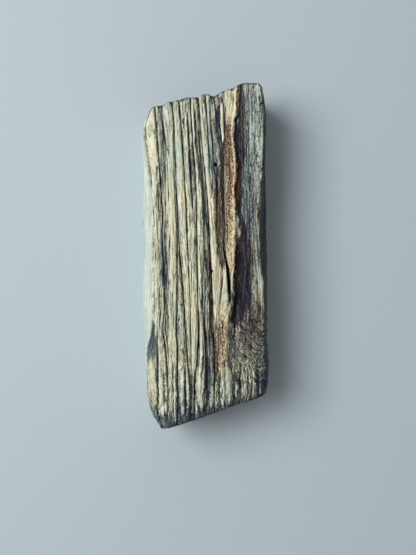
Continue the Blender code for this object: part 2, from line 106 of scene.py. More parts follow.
# The lines that the grain runs in across the weathered face, from left to right. Each station is
# (y, x, height above the main ridges) in millimetres, from the upper end down to the lower one.
GRAIN_LINES = {
    "left_rim": [
        (43, -15.8, -1.4), (37, -17.8, -1.1), (32, -17.2, -0.9), (25, -16.2, -0.8),
        (14, -14.9, -0.8), (-16, -14.9, -0.8), (-22, -15.4, -0.9), (-27, -16.6, -1.2),
        (-36, -16.7, -1.3), (-42, -16.4, -1.6), (-46, -15, -2.2), (-50, -13, -3.4),
    ],
    "left_shelf": [
        (43, -14.9, -0.9), (37, -14.4, -0.6), (28, -13.6, -0.5), (22, -13.3, -0.5),
        (19, -13.8, -0.6), (0, -13.9, -0.7), (-14, -13.7, -0.7), (-21, -14, -0.7),
        (-28, -15, -0.8), (-38, -15.1, -0.7), (-44, -14.5, -1.2), (-49, -12.8, -2.6),
    ],
    "left_groove": [
        (43, -14.5, -1), (39, -14.2, -1.2), (35, -13.95, -1.2), (28, -13.35, -1.1),
        (22, -12.9, -1.2), (19, -12.7, -1.2), (12, -12.2, -1.2), (5, -12.3, -1.4),
        (-1, -12.1, -1.7), (-8, -11.8, -1.3), (-14, -11.7, -1.1), (-21, -12.1, -1),
        (-26, -11.5, -1), (-34, -10.8, -1.2), (-42, -10.6, -1.2), (-49, -11, -2.9),
    ],
    "first_shoulder": [
        (44, -12.4, -0.9), (32, -11.5, -0.8), (20, -11.2, -0.6), (11, -11.1, -0.4),
        (3, -10.9, -0.6), (-5, -10.9, -0.7), (-13, -10.9, -0.4), (-22, -10.8, -0.5),
        (-34, -10.3, -0.5), (-44, -10.2, -0.9), (-49, -10.3, -2.2),
    ],
    "first_ridge": [
        (44, -10.8, -0.3), (36, -10.3, 0), (26, -9.8, 0), (10, -9.6, 0.1), (-10, -9.5, 0.1),
        (-38, -9.7, 0), (-45, -9.6, -0.6), (-49, -9.6, -2),
    ],
    "fork_groove": [
        (45, -9.8, -0.6), (38, -9.2, -0.5), (25, -8.9, -0.4), (18, -8.7, -0.5), (9, -8.1, -0.7),
        (1, -8, -0.8), (-14, -8, -1), (-21, -8.3, -0.9), (-28, -7.9, -0.7), (-34, -8, -1),
        (-42, -7.9, -1), (-48, -8, -2.4),
    ],
    "fork_rib": [
        (45, -9.6, -0.9), (38, -9, -0.7), (25, -8.7, -0.6), (18, -8.5, -0.8), (9, -7.9, -1.1),
        (3, -7.7, -0.8), (-5, -7.4, -0.2), (-20, -7, -0.1), (-32, -6.8, 0), (-41, -6.7, -0.1),
        (-46, -6.6, -0.8), (-49, -6.5, -2),
    ],
    "second_groove": [
        (45, -9.5, -1.1), (40, -9, -1.1), (30, -8.65, -1), (20, -8.35, -1.2), (10, -7.75, -1.3),
        (2, -7.3, -1.2), (-6, -6.7, -1.3), (-14, -6, -1.4), (-22, -5.5, -1.4), (-30, -5, -1.1),
        (-38, -4.3, -1.2), (-48, -4.2, -2.6),
    ],
    "second_ridge": [
        (45, -8.7, -0.2), (36, -8, 0), (16, -7, 0.1), (-4, -5.8, 0.1), (-14, -5.2, 0),
        (-24, -4.7, -0.1), (-34, -4.2, -0.3), (-41, -3.85, -0.6), (-48, -3.9, -2.1),
    ],
    "third_groove": [
        (45, -7.6, -1.2), (40, -7.1, -1.1), (32, -6.5, -1.1), (24, -6, -1.1), (15, -5.5, -0.9),
        (7, -5.2, -0.6), (-4, -4.7, -0.5), (-16, -4.2, -0.4), (-30, -3.9, -0.3),
        (-40, -3.65, -0.5), (-48, -3.7, -2),
    ],
    "third_ridge": [
        (46, -5.6, -0.2), (28, -5, -0.2), (14, -4.3, 0), (4, -3.7, 0.1), (-26, -3.3, 0.1),
        (-35, -3.3, 0), (-42, -3.4, -0.5), (-48, -3.5, -2),
    ],
    "fourth_groove": [
        (46, -4.2, -1.1), (40, -3.95, -1), (33, -3.5, -1), (27, -3, -1), (20, -2.55, -1.1),
        (6, -2.3, -1.1), (-3, -2.25, -0.8), (-12, -2.1, -0.6), (-19, -1.8, -0.9), (-26, -2, -1.1),
        (-31, -2.4, -1.1), (-35, -2.85, -1), (-38, -3, -0.8), (-42, -3.1, -0.9), (-47, -3.1, -2.1),
    ],
    "thin_ridge": [
        (46, -3.4, -0.2), (37, -3.2, 0), (30, -2.8, 0.2), (23, -2.15, 0.2), (15, -1.8, 0.2),
        (-2, -1.5, 0), (-14, -1.3, -0.1), (-23, -1.1, 0), (-37, -1.4, 0.1), (-44, -1.2, -0.5),
        (-48, -1.2, -2),
    ],
    "middle_shelf": [
        (46, -2.3, -0.3), (37, -2, -0.5), (27, -1.35, -0.7), (18, -0.6, -0.7), (8, -0.3, -0.6),
        (-12, -0.2, -0.4), (-20, -0.1, -0.7), (-26, 0.3, -1.1), (-35, 0.6, -1.05),
        (-41, 0.4, -0.8), (-47, 0.3, -2.1),
    ],
    "lower_rib": [
        (46, -2.1, -0.4), (37, -1.5, -0.6), (27, -0.7, -0.8), (18, 0.1, -0.9), (7, 0.7, -0.9),
        (-4, 1.2, -0.9), (-20, 1.5, -0.9), (-27, 1.6, -0.6), (-35, 1.9, -0.3), (-42, 2, -0.5),
        (-47, 2, -1.9),
    ],
    "step_groove": [
        (46, -1.9, -0.6), (40, -1.45, -0.7), (33, -0.9, -0.9), (27, -0.35, -1.1), (20, 0.4, -1.2),
        (12, 1, -1.2), (3, 1.4, -1.2), (-4, 1.8, -1.2), (-17, 2.3, -1.3), (-26, 2.65, -1.5),
        (-36, 2.75, -1.3), (-46, 2.7, -2.2),
    ],
    "long_ridge": [
        (46, -1.2, -0.1), (37, -0.7, 0.2), (29, 0, 0.3), (21, 0.9, 0.3), (13, 1.55, 0.3),
        (4, 2.05, 0.3), (-3, 2.4, 0.3), (-10, 3, 0.1), (-19, 3.2, 0), (-30, 3.35, -0.3),
        (-40, 3.3, -0.4), (-46, 3.3, -1.7),
    ],
    "brown_dip": [
        (46, 1.4, -0.4), (37, 1.5, -0.5), (28, 2.4, -0.6), (20, 3.3, -0.7), (10, 3.55, -0.8),
        (3, 3.7, -0.7), (-3, 3.9, -0.3), (-15, 3.7, -0.1), (-27, 3.75, -0.4), (-34, 3.9, -0.9),
        (-41, 3.9, -0.9), (-46, 3.9, -2),
    ],
    "dark_hollow": [
        (46, 2.6, -1.1), (41, 3.15, -1.1), (35, 3.8, -1.2), (29, 4.6, -1.1), (10, 4.9, -1.1),
        (2, 4.9, -0.9), (-5, 5.1, -0.4), (-12, 4.4, -0.4), (-27, 4.4, -0.3), (-35, 4.8, 0),
        (-41, 4.9, -0.3), (-45, 5, -1.5),
    ],
    "split": [
        (47, 4.9, -0.2), (42, 5.4, -0.4), (39, 5.7, -1), (33, 5.5, -1.2), (27, 5.35, -1.3),
        (8, 5.6, -1.4), (2, 5.5, -1.3), (-2, 6.1, -1), (-6, 6.8, -0.7), (-10, 7.05, -0.7),
        (-13, 7, -0.6), (-16, 6.6, -0.3), (-30, 5.2, -0.4), (-38, 5.8, -0.3), (-45, 6, -1.4),
    ],
    "resin_left": [
        (48, 6.2, 0), (32, 6.2, 0), (2, 6.5, 0.3), (-4, 7.2, 0.3), (-9, 7.75, 0.3), (-13, 7.6, 0),
        (-20, 6.4, 0), (-30, 6.1, 0), (-40, 7.2, 0), (-45, 7.3, -1.3),
    ],
    "resin_crest": [
        (48, 9, 0), (44, 9, 0.2), (41, 8.8, 0.3), (38, 8.2, 0.4), (36, 8.1, 0.4), (32, 8.4, 0.4),
        (26, 8.95, 0.4), (19, 8.5, 0.4), (12, 8.6, 0.4), (6, 8.4, 0.4), (0, 8.3, 0.4),
        (-9, 8.1, 0.3), (-14, 7.9, 0), (-18, 7, -0.2), (-30, 7, -0.6), (-36, 8, -1.5),
        (-44, 8.2, -1.8),
    ],
    "cliff_foot": [
        (48, 9.4, -0.9), (44, 9.4, -0.9), (41, 9.2, -0.9), (38, 8.6, -1), (36, 8.5, -1),
        (32, 8.8, -1), (26, 9.4, -1.2), (19, 8.95, -1.2), (12, 9, -1), (8, 9.3, -0.7),
        (3, 9, -1.8), (-5, 8.7, -2.4), (-12, 8.6, -2.4), (-18, 8.3, -2), (-25, 8.3, -1.2),
        (-35, 9.1, -0.9), (-44, 9.2, -1.7),
    ],
    "hollow_floor": [
        (50, 11.2, -0.8), (40, 10.8, -1.3), (22, 10.8, -1.4), (11, 11, -1.2), (3, 11, -2.2),
        (-6, 10.9, -2.6), (-14, 10.6, -2.4), (-21, 10.4, -1.6), (-28, 10.6, -1), (-35, 10.2, -2.1),
        (-43, 10.3, -2.3),
    ],
    "hollow_side": [
        (50, 13, -0.9), (38, 12.8, -1.3), (10, 13, -1.4), (2, 13.2, -1.7), (-8, 13.2, -1.9),
        (-16, 13, -1.7), (-24, 12.8, -1.1), (-33, 12.4, -0.8), (-43, 11.8, -1.2),
    ],
    "right_shoulder": [
        (50, 15, -0.9), (28, 15.3, -0.9), (12, 14.6, -0.9), (-2, 15, -1), (-12, 15.5, -1),
        (-28, 15.2, -0.9), (-43, 14.4, -1.2),
    ],
    "right_rim": [
        (50, 16.4, -1.5), (45, 17, -1.3), (30, 17.1, -1.2), (22, 16.5, -1), (13, 15.9, -1),
        (4, 16, -1), (-3, 16.4, -1.1), (-9, 17, -1.2), (-28, 17.3, -1.4), (-36, 17.7, -1.7),
        (-43, 17.3, -2.2),
    ],
}

# The stick's widest outline, as (y, x).
LEFT_OUTLINE = [
    (44, -15.6), (40, -17.6), (35, -19.1), (28, -19), (20, -19.3), (8, -19.2), (3, -18.4),
    (-3, -19.1), (-12, -19.1), (-20, -18.6), (-28, -18.1), (-36, -17.8), (-41, -17.7),
    (-45, -16.4), (-50, -13.3),
]
RIGHT_OUTLINE = [
    (50, 16.8), (47, 17.8), (42, 18.4), (25, 18.4), (0, 18.7), (-25, 18.8), (-31, 19.2),
    (-37, 19.2), (-43, 18.2),
]

# The slanted cuts at the two ends, as (x, y).
UPPER_END = [
    (-16, 42.3), (-14.8, 43.4), (-12.2, 43.7), (-10, 44.7), (-7, 45.4), (-4.5, 46), (-2.2, 45.9),
    (-0.5, 46.8), (0.6, 46.8), (2.5, 46.3), (4.5, 47.3), (6.5, 48.2), (8, 48.4), (10, 49.8),
    (12, 50.2), (15, 50.2), (17.5, 48.8),
]
LOWER_END = [
    (-13.6, -49.4), (-12.2, -50.2), (-8, -49.2), (-2, -47.2), (2, -45.7), (5, -44.7), (6, -44.1),
    (10, -42.8), (15, -41.2), (18.2, -39.9),
]

# Cracks and furrows finer than the grain lines, and a rib where the depth is negative: (depth,
# stations), each station (y, x, half width).
CUTS = [
    (0.3, [(37, -17.45, 0.25), (32, -16.85, 0.25), (25, -15.9, 0.25), (19, -15.3, 0.2)]),
    (-0.35, [(46, 8.75, 0.3), (41, 8.55, 0.3), (38, 7.95, 0.3), (32, 8.15, 0.28), (26, 8.7, 0.28),
             (19, 8.25, 0.28), (12, 8.35, 0.28), (0, 8.05, 0.25), (-7, 7.9, 0.2)]),
    (-1.2, [(42.5, 4.8, 0.35), (38, 5, 0.4), (34, 5.2, 0.3)]),
    (3, [(0, 5.9, 0.14), (-3, 6.45, 0.3), (-7, 6.9, 0.4), (-10, 7.05, 0.36), (-12, 7.25, 0.16)]),
    (0.3, [(38, -12.2, 0.2), (34, -11.6, 0.2), (31, -11, 0.25)]),
    (0.2, [(30, -11.2, 0.2), (24, -10.7, 0.2), (18, -10.5, 0.2)]),
    (0.3, [(44, -8.2, 0.15), (36, -7.9, 0.15)]),
    (0.7, [(40, -5, 0.3), (32, -4.6, 0.25), (26, -4.3, 0.3), (20, -3.9, 0.25), (15, -3.6, 0.2)]),
    (0.25, [(44, -3.2, 0.2), (36, -2.8, 0.2), (30, -2.2, 0.25), (24, -1.7, 0.2)]),
    (0.2, [(40, -1.9, 0.2), (30, -1.2, 0.2), (20, -0.4, 0.2)]),
    (0.5, [(45, 0.1, 0.18), (40, 0.6, 0.2), (34, 0.9, 0.18), (28, 1.4, 0.16)]),
    (0.4, [(42, 1.5, 0.18), (36, 1.9, 0.2), (30, 2.3, 0.18)]),
    (0.2, [(27, 3.6, 0.2), (20, 3.4, 0.25), (12, 3.3, 0.25), (5, 3.4, 0.2)]),
    (0.45, [(-26, -11.4, 0.25), (-31, -11, 0.35), (-35, -10.6, 0.3)]),
    (0.4, [(-18, -0.4, 0.2), (-22, 0.1, 0.3), (-28, 0.4, 0.35), (-39, 0.5, 0.35)]),
    (0.3, [(-32, -9.2, 0.15), (-38, -9.2, 0.18), (-45, -9.1, 0.2)]),
    (0.5, [(-33, -5.8, 0.18), (-38, -5.7, 0.25), (-44, -5.6, 0.3)]),
    (0.4, [(-28, -13.5, 0.2), (-36, -13.6, 0.25), (-44, -13.5, 0.25)]),
    (0.4, [(-30, -12, 0.18), (-42, -11.8, 0.2)]), (0.4, [(-39, -0.2, 0.2), (-44, -0.3, 0.25)]),
    (0.4, [(-40, 1.1, 0.25), (-45, 1.2, 0.25)]),
    (0.4, [(-31, 5.6, 0.2), (-36, 5.9, 0.25), (-42, 5.8, 0.2)]),
    (0.4, [(-34, 12.4, 0.2), (-40, 12.3, 0.25)]), (0.6, [(-36, 13.6, 0.2), (-41, 13.5, 0.25)]),
    (0.4, [(-34, 15.2, 0.35), (-40, 15.3, 0.35)]),
    (0.5, [(-17, -1.6, 0.2), (-22, -1.7, 0.3), (-27, -1.9, 0.35), (-31, -2, 0.3)]),
    (0.4, [(-10, -13.1, 0.18), (-16, -12.9, 0.2), (-20, -12.9, 0.22), (-23, -11.9, 0.22)]),
    (0.5, [(-3, 5, 0.2), (-8, 4.9, 0.25), (-12, 4.4, 0.25), (-16, 4.1, 0.2)]),
    (0.5, [(-3, 12.6, 0.3), (-9, 12.4, 0.3)]),
]

# Borer holes, broken-out notches and a knot: (x, y, radius, depth).
PITS = [
    (3.05, 26.4, 0.55, 2.2), (-16.85, 29.7, 0.5, 1.2), (16.4, 44.2, 0.4, 0.4),
    (2.05, -4.3, 0.45, 1), (-2.7, -11.4, 0.3, 0.5), (-10.8, 30.8, 0.5, 0.2),
    (15.2, 11.3, 0.6, 0.3), (14, 48.8, 0.45, 0.35),
]

# The patterns of the wood's colour: (name, the size of its spots in millimetres across the grain,
# along it and into the wood, seed, detail). The real fibres are finer, at about 0.03 mm.
PATTERNS = (
    ("fibre", (0.36, 7.0, 0.36), 3.0, 2.0),  # light and dark streaks, as in brushed wood
    ("strand", (0.9, 26.0, 0.9), 17.0, 2.0),  # broader bands that make each rib differ
    ("pore", (0.22, 0.6, 0.22), 29.0, 1.0),  # the dusty, pitted look of weathered wood
    ("check", (0.8, 12.0, 0.8), 37.0, 2.0),  # long drying cracks
    ("hair", (0.45, 4.5, 0.45), 43.0, 1.0),  # short hair cracks
    ("fleck", (0.26, 0.7, 0.26), 47.0, 2.0),  # torn fibre ends
    ("blotch", (1.5, 11.0, 1.5), 53.0, 2.0),  # washes of warmer and cooler grey
    ("grit", (0.3, 0.42, 0.3), 41.0, 2.0),  # the grains of the resin
)
CHECKS = (("check", 0.05), ("hair", 0.045))  # half of each crack's width, in noise values
STRENGTHS = (
    ("fibre", 0.95), ("strand", 0.5), ("pore", 0.85), ("check", -0.32), ("hair", -0.16),
)
FLECK_STRENGTH = 1.7
TEXTURE_MEAN = 1.08  # what the patterns come to on average
BLOTCH_SPREAD = 3.5  # how sharply the warmer washes stand apart from the cooler ones
GRIT_SPREAD = 3.0  # how sharply the resin's light grains stand out
GRIT_SHADE = 0.26  # how much darker the resin is than the wood's tone gives
WOOD_ROUGHNESS = 0.88
RESIN_ROUGHNESS = 0.53

# Stains over the greys of the wood: (name, colour where the wood is dark and where it is light,
# how far it covers the wood). Each lies over the ones before it.
STAINS = (
    ("bleached", "#7b8078", "#effaec", 0.9),  # the left wall, washed out by the sun
    ("end_grain", "#3a322a", "#d9c196", 0.7),  # both sawn ends
    ("brown", "#251d1a", "#e2c08e", 0.75),  # fresher wood under the weathered skin
    ("slate", "#182138", "#bcdcd6", 0.75),  # the blue grey of wet and dried wood
    ("resin", "#4a301c", "#f2dcae", 0.92),  # hardened golden resin
    # The hollow's near-black is partly its own dark wood and partly painted shade below the resin's
    # cliff.
    ("char_and_shade", "#1d1a29", "#8a7d70", 0.92),  # the nearly black floor of the hollow
    ("rust", "#54281f", "#b0583a", 0.9),  # red chips at the edge of the resin
)

# Depths and heights of the fine relief of the face, in millimetres.
LONG_FURROW = 0.3
SHORT_FURROW = 0.24
LUMP = 0.16
FRAYED_FURROW = 0.35
SHAGGY_TUFT = 0.25
CURLY_TUFT = 0.6
TUFT_TOP = 0.15  # tufts are cut off above this noise value
RESIN_GRAIN = 0.5
RESIN_SINK = 0.1
GROOVE_CRACK = 0.45
GROOVE_VARIES = 0.5

# The same for the split walls, the sawn ends and the underside.
WALL_LEDGE = 0.7
WALL_STRAND = 0.22
WALL_FUZZ = 0.1
SAW_MARK = 0.05
TORN_END = 0.5
END_RING = 0.35
UNDERSIDE_GROOVE = 0.45

# The tone of the wood, from 0 for the darkest to 1 for a bleached crest: what a crest has, what
# changes it, and the plain tones of the other sides. Much of the change is painted shade in
# hollows, creases and pits, and painted highlight on raised edges.
CREST_TONE = 0.83
# Painted shade: the tone falls with the depth below the nearest crest.
HOLLOW_SHADE = 0.26  # at one millimetre below the nearest crest
# Painted highlight where a point stands above its neighbours, painted shade where it lies in a
# crease below them.
EDGE_LIGHT_AND_SHADE = 1.5  # for each millimetre that a point stands above its neighbours
BAND_LIGHT = 0.14
CREST_REACH = 6  # in how many columns to either side the nearest crest is looked for
CREST_BLUR = 4
EDGE_BLUR = 2  # how many columns to either side count as neighbours
# The strokes' tones: the pale ones are partly bleached wood and partly painted light, the darkening
# ones partly darker wood and partly painted shade.
STROKE_LIGHTS = (("pale", 0.42), ("dark_wood_and_shade", -0.5), ("char_and_shade", -0.32))
STAIN_STRENGTH = 0.8
STAIN_TONES = ((-15, -9), (0.46, 0.29))  # of the stained lower end: at these x, these tones
STAIN_REACH = ((-12, 12), (4.5, 2.2))  # at these x, it reaches this far up the face
LOWER_CUT_SHADE = 0.12
UPPER_CUT_SHADE = 0.5
UPPER_CUT_WIDTH = 0.9
PIT_SHADE = 0.6
UNDERSIDE_TONE = 0.6
LEFT_WALL_TONE = 0.87
# The right wall, on the side away from the light, is darker than the left as painted shade.
RIGHT_WALL_TONE = 0.5
END_TONE = 0.42

# How strong the fine pattern is: what takes it from the face, and what the other sides have of it.
CALMING = {"worn": 0.65, "shaggy": 0.35, "dark_wood_and_shade": 0.3, "stained": 0.3}
WORN_BY_PALE = 0.6
LEFT_WALL_PATTERN = 0.4
OTHER_PATTERN = 0.7
FACE_FADE = 22  # the face's finish fades out within a 22nd of the height

# How far out, in half widths, a stroke keeps its full strength, and how much further it fades.
STROKE_CORE = 0.45
STROKE_FADE = 0.85

# Brush strokes on the weathered face, from left to right, of its colours and of where it is smooth,
# curly or shaggy: (strength, stations), each station (y, x, half width). The pale strokes are
# partly bleached wood and partly painted light; the darkening strokes and those of the hollow are
# partly darker wood and partly painted shade.
STROKES = {
    "pale": [
        (0.3, [(39, -16.4, 0.9), (33, -16.2, 1)]),
        (0.25, [(43, -15.3, 0.7), (38, -15.8, 1.3), (32, -15.6, 1.2), (26, -15, 1),
                (19, -14.6, 0.8), (14, -14.6, 0.4)]),
        (0.4, [(-33, -15.2, 1), (-38, -15.1, 1.1)]),
        (0.3, [(20, -14.5, 0.6), (0, -14.3, 0.6), (-18, -14.4, 0.6)]),
        (0.35, [(27, -14.2, 1.6), (23, -14, 1.4)]),
        (0.3, [(-8, -13.3, 0.5), (-25, -13.3, 0.6), (-41, -13, 0.8)]),
        (0.35, [(-38, -12.9, 0.8), (-46, -12.8, 0.8)]),
        (0.6, [(-26, -12.7, 0.7), (-34, -12.5, 1), (-43, -12.6, 1.1)]),
        (0.3, [(7, -11.8, 1.8), (2, -12.6, 1.4), (-2, -13, 0.9)]),
        (0.5, [(44, -10.9, 0.7), (38, -10.6, 0.8), (31, -10.1, 0.5), (20, -9.6, 0.4)]),
        (0.6, [(-24, -9.7, 0.9), (-36, -9.6, 1.1), (-43, -9.6, 0.8)]),
        (0.55, [(28, -9.5, 0.9), (23, -9.4, 0.9)]),
        (0.35, [(42, -9.6, 0.9), (25, -9.5, 0.8), (5, -9.3, 1), (-12, -9.2, 1)]),
        (0.6, [(30, -9.6, 0.5), (25, -9.5, 0.6), (18, -9.4, 0.7), (8, -9.1, 0.7)]),
        (0.35, [(30, -9.2, 0.5), (10, -9.2, 0.6), (-12, -9.2, 0.7), (-35, -9.3, 0.5)]),
        (0.4, [(27, -9.1, 0.8), (23, -9, 0.9)]),
        (0.2, [(43, -7.6, 0.8), (28, -7.2, 0.9), (18, -7, 0.9)]),
        (0.4, [(36, -7.6, 0.7), (30, -7.3, 0.7), (24, -6.9, 0.7)]),
        (0.5, [(36, -7.4, 0.8), (28, -6.9, 0.8)]),
        (0.5, [(45, -8.7, 0.4), (38, -8.2, 0.7), (30, -7.6, 0.8), (20, -6.8, 0.9), (5, -6, 0.9),
               (-3, -5.6, 0.8)]),
        (0.4, [(32, -7.2, 0.9), (28, -7, 0.9)]),
        (0.5, [(-8, -7.3, 0.3), (-15, -7.3, 0.5), (-22, -7, 0.5), (-34, -6.8, 0.8),
               (-44, -6.5, 0.4)]),
        (0.35, [(21.5, -5.4, 0.8), (18, -5.2, 0.8)]), (0.45, [(-3, -5, 0.9), (-7, -5, 0.8)]),
        (0.5, [(-36, -5, 0.4), (-43, -5, 0.5)]),
        (0.4, [(44, -6, 0.3), (28, -5, 0.3), (14, -3.9, 0.35), (0, -3, 0.5)]),
        (0.5, [(-8, -4.8, 1), (-15, -4.3, 0.9), (-22, -3.7, 0.7), (-33, -3.3, 0.3)]),
        (0.45, [(-24, -3.1, 0.8), (-32, -3.3, 0.8)]), (0.5, [(-27, -3.1, 0.9), (-32, -3.2, 0.9)]),
        (0.4, [(-2, -3, 0.9), (-20, -3, 0.9), (-31, -3.3, 0.8)]),
        (0.6, [(-13, -3.2, 0.7), (-20, -3.1, 0.8), (-31, -3, 0.6)]),
        (0.3, [(17, -3, 0.8), (13, -2.9, 0.8)]),
        (0.7, [(46, -3.8, 0.2), (34, -3.3, 0.3), (28, -2.7, 0.3), (22, -2.1, 0.3),
               (12, -1.8, 0.25), (2, -1.8, 0.2)]),
        (0.6, [(-18, -1, 0.25), (-25, -0.9, 0.5), (-32, -1.1, 0.6), (-38, -1.5, 0.6),
               (-43, -1.3, 0.3)]),
        (0.9, [(46, -1.4, 0.4), (40, -0.9, 0.5), (34, -0.6, 0.5), (28, 0.1, 0.5), (22, 0.8, 0.6),
               (16, 1.4, 0.6), (10, 1.8, 0.6), (4, 2.1, 0.5), (-1, 2.4, 0.7)]),
        (0.3, [(9, 2.6, 0.6), (4, 3, 0.6), (-2, 3.4, 0.9)]),
        (1, [(-2, 3.1, 1), (-6, 3.6, 1.8), (-13, 3.6, 1.7), (-18, 3.2, 0.8)]),
        (0.6, [(-3, 3.6, 1.2), (-10, 4.6, 2), (-15, 4.8, 1.8)]),
        (0.9, [(42.5, 4.8, 0.4), (38, 5, 0.45), (34, 5.2, 0.35)]),
        (0.7, [(-31, 4.8, 0.5), (-36, 5.2, 0.7), (-42, 5.2, 0.8)]),
        (0.9, [(-5, 5.7, 0.6), (-11, 5.9, 1), (-15, 5.9, 1.1), (-18, 5.2, 1.3)]),
        (0.6, [(48, 6.6, 0.8), (44, 6.6, 1.2), (40, 6.8, 1.2)]),
        (0.8, [(-32, 6.4, 0.5), (-36, 6.9, 0.5), (-40, 7.4, 0.3)]),
        (0.35, [(42, 7, 1), (38, 7, 0.9)]), (0.4, [(6, 7.2, 1.2), (-1, 7.2, 0.9)]),
        (0.7, [(8, 8, 0.8), (4, 7.6, 1), (-2, 7.6, 0.7)]), (0.4, [(7, 8, 1.6), (3, 8, 1.4)]),
        (0.35, [(-38, 8, 1.8), (-42, 8, 1.6)]),
        # Along the resin's crest: bleached wood with a painted highlight.
        (1, [(47, 8.9, 0.9), (42, 8.7, 0.85), (38, 7.95, 0.6), (35, 7.8, 0.45), (30, 8.3, 0.4),
             (24, 8.7, 0.4), (19, 8.2, 0.3), (8, 8.1, 0.4), (0, 7.9, 0.4), (-7, 7.9, 0.3)]),
        (1, [(11, 8.9, 0.6), (8, 9.4, 1), (5, 9, 0.6)]),
        # Painted light that lifts the rust chips out of the cliff's shade.
        (0.7, [(22, 9.2, 0.4), (19.5, 9.2, 0.6), (16, 9.3, 0.6)]),
        (0.4, [(-36, 11.4, 0.4), (-41, 11.5, 0.3)]),
        (0.3, [(42, 13.3, 0.9), (34, 13.6, 1.1), (27, 13.2, 0.8)]),
        (0.35, [(-8, 13.8, 1.5), (-12, 14.2, 1.5)]),
        (0.5, [(4, 15, 0.6), (-3, 15.3, 0.8), (-8, 16, 0.9), (-13, 16.2, 0.7)]),
    ],
    "dark_wood_and_shade": [
        (0.45, [(37, -17.45, 0.3), (32, -16.85, 0.3), (25, -15.9, 0.3), (19, -15.3, 0.22)]),
        (0.4, [(-23, -15.2, 1), (-26, -15.4, 1.4), (-30, -15.6, 1.2)]),
        (0.6, [(-21, -14.9, 0.4), (-24, -15.3, 1.2), (-28, -15.6, 1.5)]),
        (0.2, [(-23, -15, 1.1), (-26, -15.2, 1.5), (-29, -15.5, 1.2)]),
        (0.5, [(16, -15.1, 0.2), (0, -15, 0.2), (-16, -15, 0.22), (-21, -15.3, 0.2)]),
        (0.4, [(-22, -15, 1.2), (-27, -15.2, 1.4)]), (0.5, [(-45, -15.2, 1.2), (-48, -14, 1.6)]),
        (0.5, [(-22, -13.8, 0.3), (-30, -13.8, 0.4), (-36, -13.7, 0.4)]),
        (0.6, [(17.5, -13.7, 0.5), (15.5, -13.6, 0.5)]),
        (0.8, [(21, -12.6, 0.35), (16.5, -12.4, 0.35)]),
        (0.5, [(44, -13, 1), (36, -12.5, 1.1), (28, -12.2, 1), (20, -12.2, 0.7)]),
        (0.6, [(8, -12.1, 0.8), (0, -11.9, 0.9), (-8, -11.9, 0.6)]),
        (0.7, [(6, -12, 0.5), (2, -11.9, 0.8), (-3, -11.9, 0.8), (-8, -11.7, 0.5),
               (-14, -11.5, 0.3)]),
        (0.3, [(0, -11, 0.6), (-14, -11, 0.8), (-28, -11, 0.7)]),
        (0.8, [(-34, -8, 0.3), (-38, -7.9, 0.35), (-44, -7.9, 0.4)]),
        (0.3, [(-8, -7.2, 0.4), (-20, -7.4, 0.6), (-32, -7.6, 0.6)]),
        (0.25, [(-18, -7.3, 0.7), (-26, -7.3, 0.8)]), (0.35, [(2, -7.3, 0.7), (-10, -6.9, 0.9)]),
        (0.3, [(-35, -7.4, 0.6), (-47, -6.6, 1.2)]), (0.5, [(-38, -7, 0.9), (-46, -7, 1.1)]),
        (0.3, [(42, -6.6, 0.3), (36, -6.4, 0.3), (28, -6.2, 0.3)]),
        (0.25, [(36, -6.7, 0.3), (30, -6.35, 0.4), (25, -5.4, 0.6)]),
        (0.8, [(-34, -5.6, 0.25), (-38, -5.75, 0.3), (-45, -5.6, 0.35)]),
        (0.3, [(17, -4.8, 0.9), (9, -4.9, 0.8)]),
        (0.9, [(-35, -4.4, 0.3), (-39, -4.1, 0.45), (-46, -4.1, 0.4)]),
        (0.25, [(44, -4.8, 0.5), (36, -4.5, 0.75), (28, -4.1, 0.7), (20, -3.6, 0.6),
                (12, -3.2, 0.4)]),
        (0.45, [(27, -3.2, 0.9), (23, -3, 0.9)]), (0.35, [(-34, -3.2, 0.4), (-44, -3, 0.8)]),
        (0.45, [(37, -3, 0.8), (33, -2.9, 0.8)]),
        (0.45, [(45, -2.4, 0.6), (36, -2, 0.9), (28, -1.5, 0.85), (20, -0.7, 0.8),
                (10, -0.1, 0.8)]),
        (0.25, [(-3, -0.9, 0.7), (-20, -0.7, 0.7)]),
        (0.35, [(12, -0.5, 0.7), (-6, -0.5, 0.8), (-24, -0.4, 0.8)]),
        (0.9, [(-31, 0.6, 0.7), (-37, 0.5, 0.8), (-44, 0.2, 0.5)]),
        (0.4, [(-13, 0.7, 0.9), (-24, 0.5, 0.9), (-33, 0.6, 0.9)]),
        (0.35, [(7, 1, 0.8), (4, 1.2, 0.8)]),
        (0.25, [(45, 0.7, 0.9), (36, 1.1, 1.1), (30, 2, 1.1)]),
        (0.7, [(-1, 0.9, 0.5), (-6, 1.25, 0.85), (-12, 1.6, 0.7), (-18, 1.7, 0.85),
               (-24, 2, 1.1)]),
        (0.35, [(8, 1, 0.4), (-4, 1.5, 0.6), (-15, 1.9, 0.7), (-38, 1.9, 1)]),
        (0.5, [(-3, 1.5, 0.5), (-12, 1.7, 0.7), (-27, 2.2, 0.9)]),
        (0.5, [(-21, 2, 1), (-28, 2.2, 1.3), (-36, 2.2, 1.2)]),
        (0.6, [(-22, 2.6, 1.4), (-27, 2.4, 1.5)]),
        (0.5, [(27, 2.3, 1.1), (24, 2.5, 1.2), (18, 3.1, 0.8)]),
        (0.7, [(-20, 3.1, 0.5), (-26, 3.2, 0.7), (-34, 3, 0.6)]),
        (0.5, [(-23, 3, 0.9), (-27, 3.2, 0.9)]),
        (0.4, [(-22, 3, 0.7), (-28, 3.3, 0.8), (-32, 3.2, 0.6)]),
        (0.4, [(47, 3.4, 0.6), (42, 3.5, 0.6)]),
        (0.6, [(40, 3.4, 0.4), (34, 4.2, 0.8), (28, 4.7, 0.6)]),
        (0.8, [(-35, 4.2, 0.3), (-42, 4.2, 0.4)]),
        (0.6, [(27, 4.6, 1.2), (20, 4.4, 1.6), (12, 4.4, 2), (4, 4.5, 1.8), (-1, 4.9, 1.1)]),
